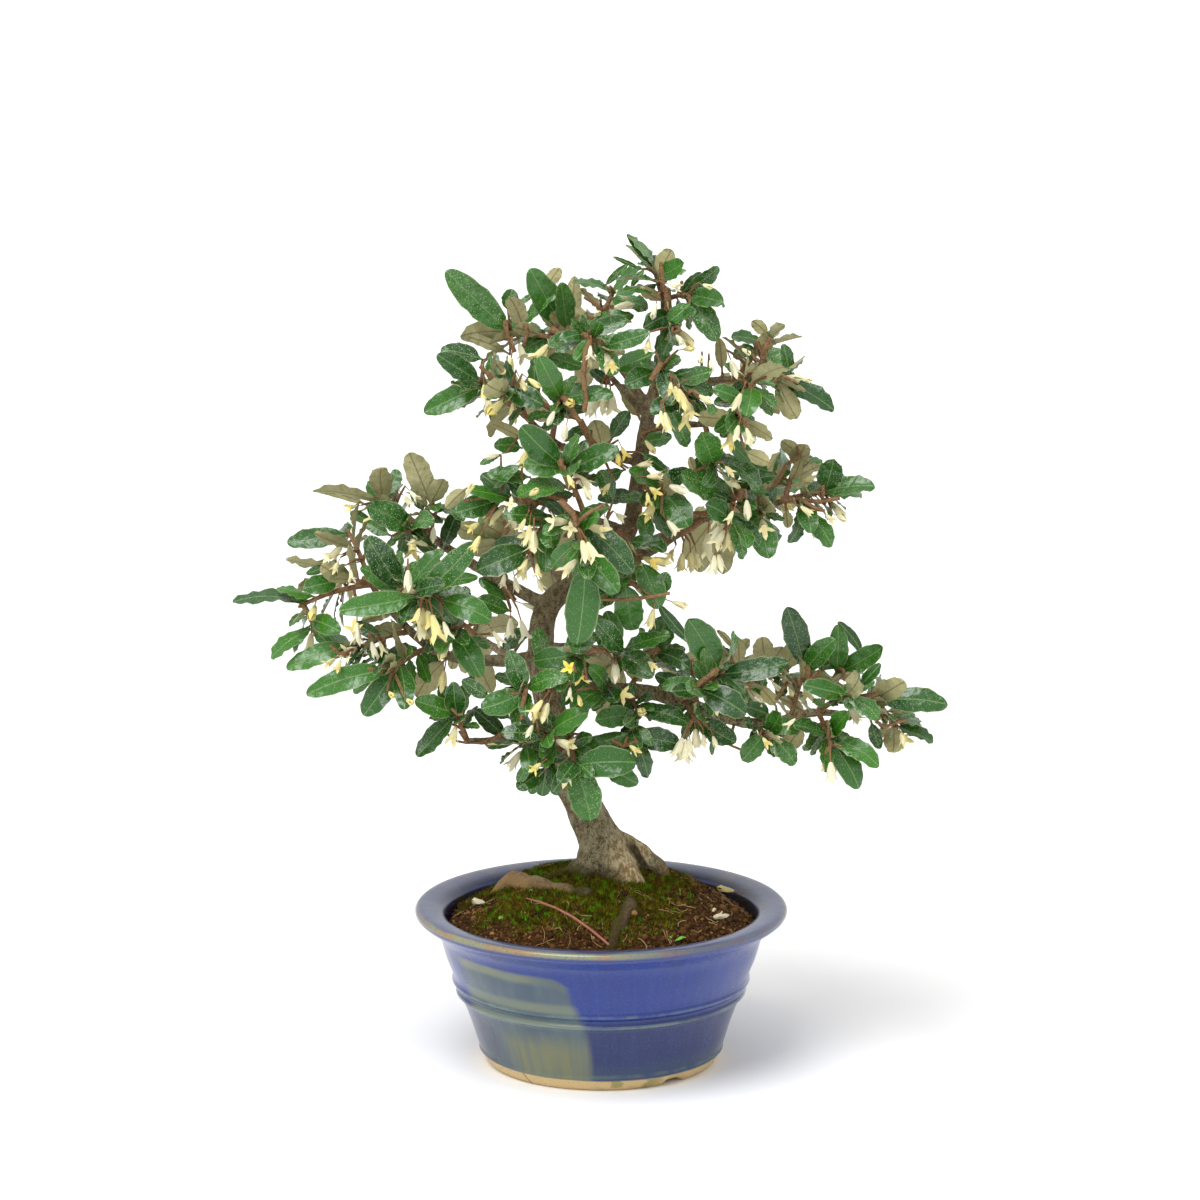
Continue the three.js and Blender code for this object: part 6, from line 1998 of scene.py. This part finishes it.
# %% Glaze finish
def glaze_finish():
    net = Finish("blue_glaze")
    x, y, z = net.parts(net.place)
    angle = net.math("ARCTAN2", x, -y) * (180 / math.pi)
    reach = (x * x + y * y) ** 0.5
    wander = net.grain(0.05, 3) - 0.5
    fine = net.grain(0.9, 4, 0.65)
    drip = net.noise(net.vector(angle * 0.09, z * 0.02, 0.0), 1.0, 4, 0.6)

    upper, lower = (24, 52, 132), (22, 38, 90)
    blue = net.mix(net.smooth(z + wander * 10, 33, 44), lower, upper)
    blue = net.mix(net.smooth(drip, 0.45, 0.75) * 0.4, blue, (34, 46, 92))
    runs = net.noise(net.vector(angle * 0.35, z * 0.02, 2.0), 1.0, 4, 0.6)
    blue = net.mix(net.smooth(runs, 0.4, 0.75) * 0.14, blue, (56, 84, 160))
    blue = net.mix(net.smooth(fine, 0.5, 0.72) * 0.25, blue, (82, 98, 164))
    low_band = net.fade(z + wander * 8, 10, 19)
    blue = net.mix(low_band * 0.5, blue, (52, 74, 96))

    edge = wander * 4 - 4.2 - 7 * net.smooth(z, 22, 62)
    top = 63.6 - 0.04 * (angle + 53) - 3.5 * net.smooth(angle, -18, -9) + wander * 3
    poured = (net.fade(angle - edge, -2.5, 1.5) * net.smooth(angle, -67, -56)
              * net.fade(z - top, -1.6, 0.8))
    sheet = net.mix(net.smooth(drip, 0.35, 0.7), (66, 84, 98), (84, 102, 108))
    pale = net.mix(net.smooth(drip, 0.3, 0.7), (134, 138, 104), (118, 130, 112))
    olive = net.fade(z + wander * 8, 20, 33) * net.smooth(angle + z * 0.3, -48, -32)
    sheet = net.mix(olive * (0.55 + 0.4 * net.smooth(runs, 0.35, 0.65)), sheet, (116, 118, 80))
    band = net.smooth(z - top, -6.5, -3.0) * (1 - net.smooth(angle, -36, -16) * 0.75)
    crests = net.smooth(z, 42.4, 43.6) * net.fade(z, 46, 49.5)
    crests = net.most(crests, net.fade(abs(z - 36.8), 0.8, 1.8))
    sheet = net.mix(net.most(band, crests * 0.8) * 0.85, sheet, pale)
    # Painted shade: the low left side of the wall is darkened, and the poured sheet is dimmed there.
    painted_edge_shade = net.fade(z, 24, 36) * net.fade(angle, -58, -44)
    colour = net.mix(poured * (0.95 - 0.5 * painted_edge_shade), blue, sheet)
    colour = net.mix(painted_edge_shade * 0.55, colour, (32, 42, 54))

    bead_low = net.fade(abs(z - LOW_BEAD), 0.5, 1.1)
    bead_high = net.fade(abs(z - HIGH_BEAD), 0.4, 1.1)
    groove = net.fade(abs(z - GROOVE), 0.4, 1.4)
    crest = net.most(bead_low, bead_high * net.smooth(drip, 0.3, 0.7) * 0.8)
    outer = net.smooth(reach, 50, 58)
    broken = net.smooth(net.noise(net.vector(angle * 0.12, z * 0.1, 4.0), 1.0, 4), 0.35, 0.6)
    colour = net.mix(crest * outer * (0.25 + broken * 0.4), colour, (112, 134, 124))
    colour = net.mix(groove * outer * broken * 0.5, colour, (84, 104, 96))

    rim_top = net.smooth(z, 74.5, 77.5)
    rim = net.mix(fine, (46, 56, 100), (70, 82, 118))
    stain = net.spots(0.1, 0.5, 0.62, 4) * net.smooth(y, 20, 60)
    rim = net.mix(stain * 0.6, rim, (96, 88, 88))
    inner = net.fade(reach, 77, 84)
    inner_tone = net.mix(net.smooth(x, 20, 60), (20, 26, 58), (34, 34, 34))
    rim = net.mix(inner * 0.9, rim, inner_tone)
    thin = net.smooth(reach + wander * 3, 89.8, 91.6) * net.smooth(z, 75.2, 77)
    front = 0.3 + 0.7 * net.fade(abs(angle + 28), 24, 60)
    glow = net.mix(net.smooth(drip, 0.45, 0.6), (136, 138, 106), (150, 128, 92))
    rim = net.mix(thin * front * net.smooth(fine, 0.2, 0.5), rim, glow)
    colour = net.mix(rim_top, colour, rim)
    inside = net.smooth(net.attribute("row"), INNER_WALL_ROW, INNER_WALL_ROW + 1)
    inner_wall = net.mix(net.smooth(drip, 0.4, 0.65), (40, 44, 84), (62, 58, 54))
    colour = net.mix(inside, colour, inner_wall)

    clay = net.mix(fine, (196, 168, 116), (226, 200, 148))
    clay = net.mix(net.spots(0.8, 0.62, 0.7) * 0.5, clay, (150, 122, 84))
    olive = net.spots(0.12, 0.5, 0.6, 4) * net.smooth(angle, -5, 8) * net.fade(angle, 24, 34)
    clay = net.mix(olive * 0.7, clay, (132, 132, 70))
    crack = net.fade(abs(angle + 37 + z * 0.5), 0.15, 0.6)
    clay = net.mix(crack * 0.8, clay, (60, 42, 30))
    bare = net.fade(z + wander * 1.6, 5.4, 6.4)
    colour = net.mix(bare, colour, clay)

    rough = net.mix_number(bare, fine * 0.14 + 0.16, 0.9)
    pits = net.spots(0.55, 0.66, 0.74)
    height = wander * 2 - pits * 0.15 + fine * bare * 1.5
    return net.surface(colour, rough, height, 0.25, Coat_Weight=0.2, Coat_Roughness=0.08)


def profile_object(name, profile):
    return new_object(name, [(radius, 0, height) for radius, height in profile])


pot = run_tree(profile_object("glazed_pot", POT_PROFILE), LATHE_TREE, sides=POT_SIDES,
               unevenness=0.35, notch=NOTCH_HEIGHT, finish=glaze_finish())
settle(pot, "blue_glaze", "pot")

# %% [markdown]
# ## Drain mesh
#
# A piece of plastic net keeps the earth in over the drain hole. Nobody sees it, so the CAD
# piece stays and only gets its finish: black plastic, ribbed like the net.

# %% Drain mesh finish
def plastic_finish():
    net = Finish("black_net")
    x, y, _ = net.parts(net.place)
    ribs = net.most(net.sin(x * 2.4), net.sin(y * 2.4))
    colour = net.mix(net.grain(0.4, 3), (24, 28, 26), (44, 48, 44))
    return net.surface(colour, 0.55, ribs, 0.3)


drain_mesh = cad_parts["drain_mesh"]
drain_mesh.data.materials.clear()
drain_mesh.data.materials.append(plastic_finish())
print("drain mesh finished")

# %% [markdown]
# ## Earth
#
# The earth fills the pot and rises to a low mound round the trunk. It is dark and crumbly, with
# a worn carpet of moss. The same lathe tree turns its body, and noise makes the top uneven.
# The crumbs, the moss and the bits lying on it are pieces of their own.

# %% Earth finish and mound
SOIL_RADIUS = 76.3
SOIL_EDGE = 69
SOIL_RISE = 29
SOIL_RING_COUNT = 26
SOIL_SIDES = 128
MOSS_DEPTH = 4
MOSS_REACH = 62
MOSS_WANDER = 18
MOSS_SOFTNESS = 12
BARE_MIDDLE = 12
SOIL_WALL = [(0, 13.6), (30, 13.6), (52.7, 13.6), (58.1, 24.3), (64, 40), (69.2, 55), (76, 66.5)]


def earth_finish():
    net = Finish("potting_earth")
    crumbs = net.grain(0.7, 5, 0.65)
    colour = net.mix(net.smooth(crumbs, 0.35, 0.7), (34, 20, 8), (92, 60, 30))
    colour = net.mix(net.spots(0.9, 0.6, 0.68) * 0.5, colour, (138, 98, 54))
    moss = net.attribute("moss") * net.spots(0.5, 0.35, 0.55, 4)
    colour = net.mix(moss * 0.85, colour, (52, 52, 8))
    return net.surface(colour, 0.95, crumbs, 1.6, Specular_IOR_Level=0.1)


def mound_height(x, y):
    """The uneven top of the earth at a place in the pot."""
    share = math.hypot(x, y) / SOIL_RADIUS
    smooth_top = SOIL_EDGE + SOIL_RISE * (1 - share * share)
    lumps = 1.6 * noise.noise((x * 0.05, y * 0.05, 3)) + 0.9 * noise.noise((x * 0.16, y * 0.16, 9))
    return smooth_top + lumps + 0.35 * noise.noise((x * 0.5, y * 0.5, 5))


def moss_cover(x, y):
    """How much moss grows at a place, from 0 to 1."""
    reach = math.hypot(x * (1.25 if x > 0 else 0.92), y)
    edge = MOSS_REACH + MOSS_WANDER * noise.noise((x * 0.045, y * 0.045, 1))
    patch = 0.6 + 0.9 * noise.noise((x * 0.13, y * 0.13, 4))
    return max(0.0, min(1.0, (edge - reach) / MOSS_SOFTNESS)) * max(0.1, min(1.0, patch + 0.3))


soil_profile = SOIL_WALL + [
    (SOIL_RADIUS * (1 - k / SOIL_RING_COUNT), SOIL_EDGE + 1) for k in range(SOIL_RING_COUNT + 1)]
earth = run_tree(profile_object("earth", soil_profile), LATHE_TREE, sides=SOIL_SIDES,
                 unevenness=0.0, notch=0.0, finish=earth_finish())
soil_points = read_points(earth.data)
for point in soil_points:
    if point[2] > SOIL_EDGE:
        point[2] = mound_height(point[0], point[1])
write_points(earth.data, soil_points)
add_column(earth.data, "moss",
           [moss_cover(x, y) if z > SOIL_EDGE - MOSS_DEPTH else 0 for x, y, z in soil_points])
print("highest earth:", round(float(soil_points[:, 2].max()), 1), "mm")

# %% [markdown]
# ### Crumbs and moss
#
# Thousands of crumbs and moss stars lie on the mound. Each is a tiny shape with a dozen or two
# faces, and a tree of nodes scatters it over the earth's own faces, as densely as a stored
# attribute says, with its own turn and size.

# %% Crumb and moss shapes
def crumb_shape(name, seed):
    draws = Draws(seed)
    gold = (1 + 5 ** 0.5) / 2
    corners = [(0, s, t * gold) for s in (-1, 1) for t in (-1, 1)]
    corners += [(s, t * gold, 0) for s in (-1, 1) for t in (-1, 1)]
    corners += [(t * gold, 0, s) for s in (-1, 1) for t in (-1, 1)]
    points = [unit(np.array(c, float)) * draws.between(0.32, 0.6) for c in corners]
    obj = new_object(name, points)
    hull = bmesh.new()
    hull.from_mesh(obj.data)
    bmesh.ops.convex_hull(hull, input=hull.verts)
    bmesh.ops.delete(hull, geom=[v for v in hull.verts if not v.link_faces], context="VERTS")
    hull.to_mesh(obj.data)
    hull.free()
    obj.hide_render = True
    return obj


def moss_shape(name, seed):
    """A star of five leaning spikes."""
    draws = Draws(seed)
    points, faces = [], []
    for spike in range(5):
        turn = 2 * math.pi * (spike / 5 + draws.between(-0.06, 0.06))
        lean = draws.between(0.25, 0.95) if spike else 0
        foot = np.array([0.25 * math.cos(turn), 0.25 * math.sin(turn), -0.2])
        tip = foot + (lean * math.cos(turn), lean * math.sin(turn), draws.between(0.9, 1.5))
        start = len(points)
        for k in range(3):
            around = turn + 2 * math.pi * k / 3
            points.append(foot + (0.24 * math.cos(around), 0.24 * math.sin(around), 0))
        points.append(tip)
        faces.extend([(start, start + 2, start + 1), (start, start + 1, start + 3),
                      (start + 1, start + 2, start + 3), (start + 2, start, start + 3)])
    obj = new_object(name, points, (), faces)
    obj.hide_render = True
    return obj


def scatter_on_ground_tree():
    net, sizes = new_tree("scatter_on_ground", [
        ("shape", "NodeSocketObject", None), ("density", "NodeSocketFloat", 0.3),
        ("smallest", "NodeSocketFloat", 0.6), ("largest", "NodeSocketFloat", 1.6),
        ("tilt", "NodeSocketFloat", 0.4), ("seed", "NodeSocketInt", 1),
        ("finish", "NodeSocketMaterial", None)])

    def chance(low, high, step):
        return net.node("FunctionNodeRandomValue", {"data_type": "FLOAT"},
                        {2: low, 3: high, "Seed": sizes["seed"] + step}, out=1)

    spots = net.node("GeometryNodeDistributePointsOnFaces", {"distribute_method": "RANDOM"}, {
        "Mesh": sizes["Geometry"], "Density": sizes["density"] * stored(net, "cover"),
        "Seed": sizes["seed"]})
    low = net.vector(-sizes["tilt"], -sizes["tilt"], 0.0)
    high = net.vector(sizes["tilt"], sizes["tilt"], 2 * math.pi)
    turn = net.node("FunctionNodeRandomValue", {"data_type": "FLOAT_VECTOR"},
                    {0: low, 1: high, "Seed": sizes["seed"] + 1})
    size = chance(sizes["smallest"], sizes["largest"], 2)
    shape = net.node("GeometryNodeObjectInfo", None, {"Object": sizes["shape"]}, out="Geometry")
    copies = net.node("GeometryNodeInstanceOnPoints", None, {
        "Points": spots, "Instance": shape,
        "Rotation": net.node("FunctionNodeEulerToRotation", None, {0: turn}), "Scale": size})
    copies = store(net, copies, "shade", chance(0.0, 1.0, 3), "INSTANCE")
    real = net.node("GeometryNodeRealizeInstances", None, {0: copies})
    close_tree(net, real, sizes["finish"])
    return net.tree


GROUND_TREE = scatter_on_ground_tree()
print("ground tree:", len(GROUND_TREE.nodes), "nodes")

# %% Scatter the crumbs and the moss
def crumb_finish():
    net = Finish("earth_crumbs")
    shade = net.attribute("shade")
    colour = net.mix(shade, (44, 30, 14), (124, 88, 50))
    colour = net.mix(net.smooth(shade, 0.93, 0.96) * 0.6, colour, (170, 134, 88))
    return net.surface(colour, 0.95, net.grain(2.0, 3), 0.4, Specular_IOR_Level=0.1)


def moss_finish():
    net = Finish("moss_stars")
    shade = net.attribute("shade")
    bright = net.smooth(net.grain(0.22, 4), 0.54, 0.62)
    dry = net.smooth(net.noise(net.place + 40, 0.09, 3), 0.42, 0.62)
    colour = net.mix(shade, (40, 42, 2), (104, 102, 10))
    colour = net.mix(dry * 0.6, colour, net.mix(shade, (70, 54, 12), (134, 108, 30)))
    colour = net.mix(bright * 0.75, colour, (92, 150, 22))
    return net.surface(colour, 0.85, net.grain(2.0, 2), 0.3, Specular_IOR_Level=0.1)


def scatter(name, shape, cover, finish, **sizes):
    """Scatters a shape over the earth where cover(x, y) says."""
    obj = earth.copy()
    obj.data = earth.data.copy()
    obj.name = name
    bpy.context.scene.collection.objects.link(obj)
    rows = [cover(x, y) if z > SOIL_EDGE and math.hypot(x, y) > BARE_MIDDLE else 0
            for x, y, z in soil_points]
    add_column(obj.data, "cover", rows)
    run_tree(obj, GROUND_TREE, shape=shape, finish=finish, **sizes)
    return settle(obj, "earth")


CRUMBS = crumb_finish()
MOSS = moss_finish()
GROUND_SHAPES = [crumb_shape("crumb_shape_a", 5), crumb_shape("crumb_shape_b", 6),
                 moss_shape("moss_shape", 8)]
scatter("fine_crumbs", GROUND_SHAPES[0], lambda x, y: 1 - 0.85 * moss_cover(x, y), CRUMBS,
        density=0.22, smallest=0.9, largest=2.2, tilt=3.0, seed=11)
scatter("coarse_crumbs", GROUND_SHAPES[1], lambda x, y: (1 - moss_cover(x, y)) ** 2, CRUMBS,
        density=0.026, smallest=2.2, largest=4.4, tilt=3.0, seed=17)
scatter("moss_carpet", GROUND_SHAPES[2], moss_cover, MOSS,
        density=0.7, smallest=0.8, largest=2.0, tilt=0.45, seed=23)

# %% [markdown]
# ### Bits lying on the earth
#
# Fibres of old bark lie about the earth. A fallen reddish stalk crosses the front of the mound,
# and four dropped flowers and a few seedlings' leaves lie near the rim. These are placed where
# they show in the photograph: a ray from the eye through that pixel meets the earth.

# %% Find the ground
LIP_HEIGHT = 80
ABOVE_ALL = 200
GROUND = BVHTree.FromPolygons(
    [Vector(point) for point in soil_points], [tuple(face.vertices) for face in earth.data.polygons])


def ground_under(x, y):
    spot = GROUND.ray_cast(Vector((x, y, ABOVE_ALL)), Vector((0, 0, -1)))[0]
    return np.array(spot) if spot is not None else None


def ground_at_pixel(px, py, rise=0.0):
    aim = place(*board_of(px, py), 0) - EYE
    spot = GROUND.ray_cast(Vector(EYE), Vector(aim))[0]
    if spot is None:
        spot = EYE + aim * ((EYE[2] - LIP_HEIGHT) / -aim[2])
    return np.array(spot) + UP * rise


print("front of the mound:", ground_at_pixel(601, 930).round(1))

# %% Fibres and the fallen stalk
FIBRE_COUNT = 120
FIBRE_STEPS = 6
FIBRE_REACH = 74


def fibre_path(draws):
    reach, turn = FIBRE_REACH * draws.between(0.2, 1) ** 0.5, draws.between(0, 2 * math.pi)
    x, y = reach * math.cos(turn), reach * math.sin(turn)
    heading, curl = draws.between(0, 2 * math.pi), draws.between(-0.35, 0.35)
    step, radius = draws.between(0.6, 2.0), draws.between(0.08, 0.2)
    path = []
    for k in range(FIBRE_STEPS):
        spot = ground_under(x, y)
        if spot is None or math.hypot(x, y) > SOIL_RADIUS - 2:
            break
        path.append((spot + UP * (0.4 + draws.between(0, 0.9)), radius))
        x += step * math.cos(heading)
        y += step * math.sin(heading)
        heading += curl
    return path


draws = Draws(SEED + 7)
fibres = [path for path in (fibre_path(draws) for _ in range(FIBRE_COUNT)) if len(path) > 2]
straw = two_tone_finish("straw", 0.08, 2, (150, 112, 70), (206, 178, 128), 0.8, 2.5, 0.2)
settle(make_tubes("straw_fibres", fibres, 4, 0.1, straw), "earth")
STALK_PIXELS = ((526, 901), (540, 905), (556, 911), (573, 920), (590, 932), (601, 941), (609, 948))
stalk_path = [(ground_at_pixel(px, py, 1.4), 0.7 if k else 0.3)
              for k, (px, py) in enumerate(STALK_PIXELS)]
red_stalk = two_tone_finish("red_stalk", 0.3, 3, (128, 70, 56), (178, 116, 96), 0.6, 1.5, 0.2)
settle(make_tubes("fallen_stalk", [stalk_path], 8, 0.06, red_stalk), "bark")

# %% Dropped flowers and seedlings
# Pixel of the stalk's end, pixel of the mouth, shape, age, size
DROPPED = (((491, 907), (461, 903), 0, 0.05, 0.8), ((743, 896), (712, 891), 0, 0.9, 0.8),
           ((708, 921), (747, 920), 1, 0.0, 0.85), ((711, 916), (719, 909), 0, 0.1, 0.4))
SEEDLINGS = ((675, 943, 6, 0.4), (672, 940, 4, 2.4), (499, 921, 4, 1.0), (528, 893, 4, 0.2))

rows = []
for root_pixel, mouth_pixel, form, age, size in DROPPED:
    root, mouth = ground_at_pixel(*root_pixel, 1.6), ground_at_pixel(*mouth_pixel, 2.2)
    rows.append((root, unit(mouth - root), 0.3, size, form, age))
settle(make_flowers("dropped_flowers", rows, FADED_PETAL), "foliage")

seedlings = []
for px, py, length, turn in SEEDLINGS:
    along = np.array([math.cos(turn), math.sin(turn), 0.25])
    seedlings.append(leaf_of(ground_at_pixel(px, py, 0.8), LEAF_FORMS[0], length, length * 0.6,
                             unit(along), UP))
seedling_green = two_tone_finish(
    "seedling_green", 0.6, 2, (88, 160, 40), (128, 196, 64), 0.6, 1.5, 0.1)
settle(make_leaves("seedlings", seedlings, seedling_green, stalk=0.3, thickness=0.4), "foliage")
settle(earth, "earth", "soil")
for shape in [*FLOWER_SHAPES, *GROUND_SHAPES]:
    bpy.data.objects.remove(shape)

# %% [markdown]
# ## Sizes
#
# The sizes of the CAD model and of the dressed model are printed.

# %% Print both sizes
DRESSED_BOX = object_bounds()
for label, box in (("CAD", CAD_BOX), ("dressed", DRESSED_BOX)):
    print(label, [round(1000 * c, 1) for corner in box for c in corner], "mm")
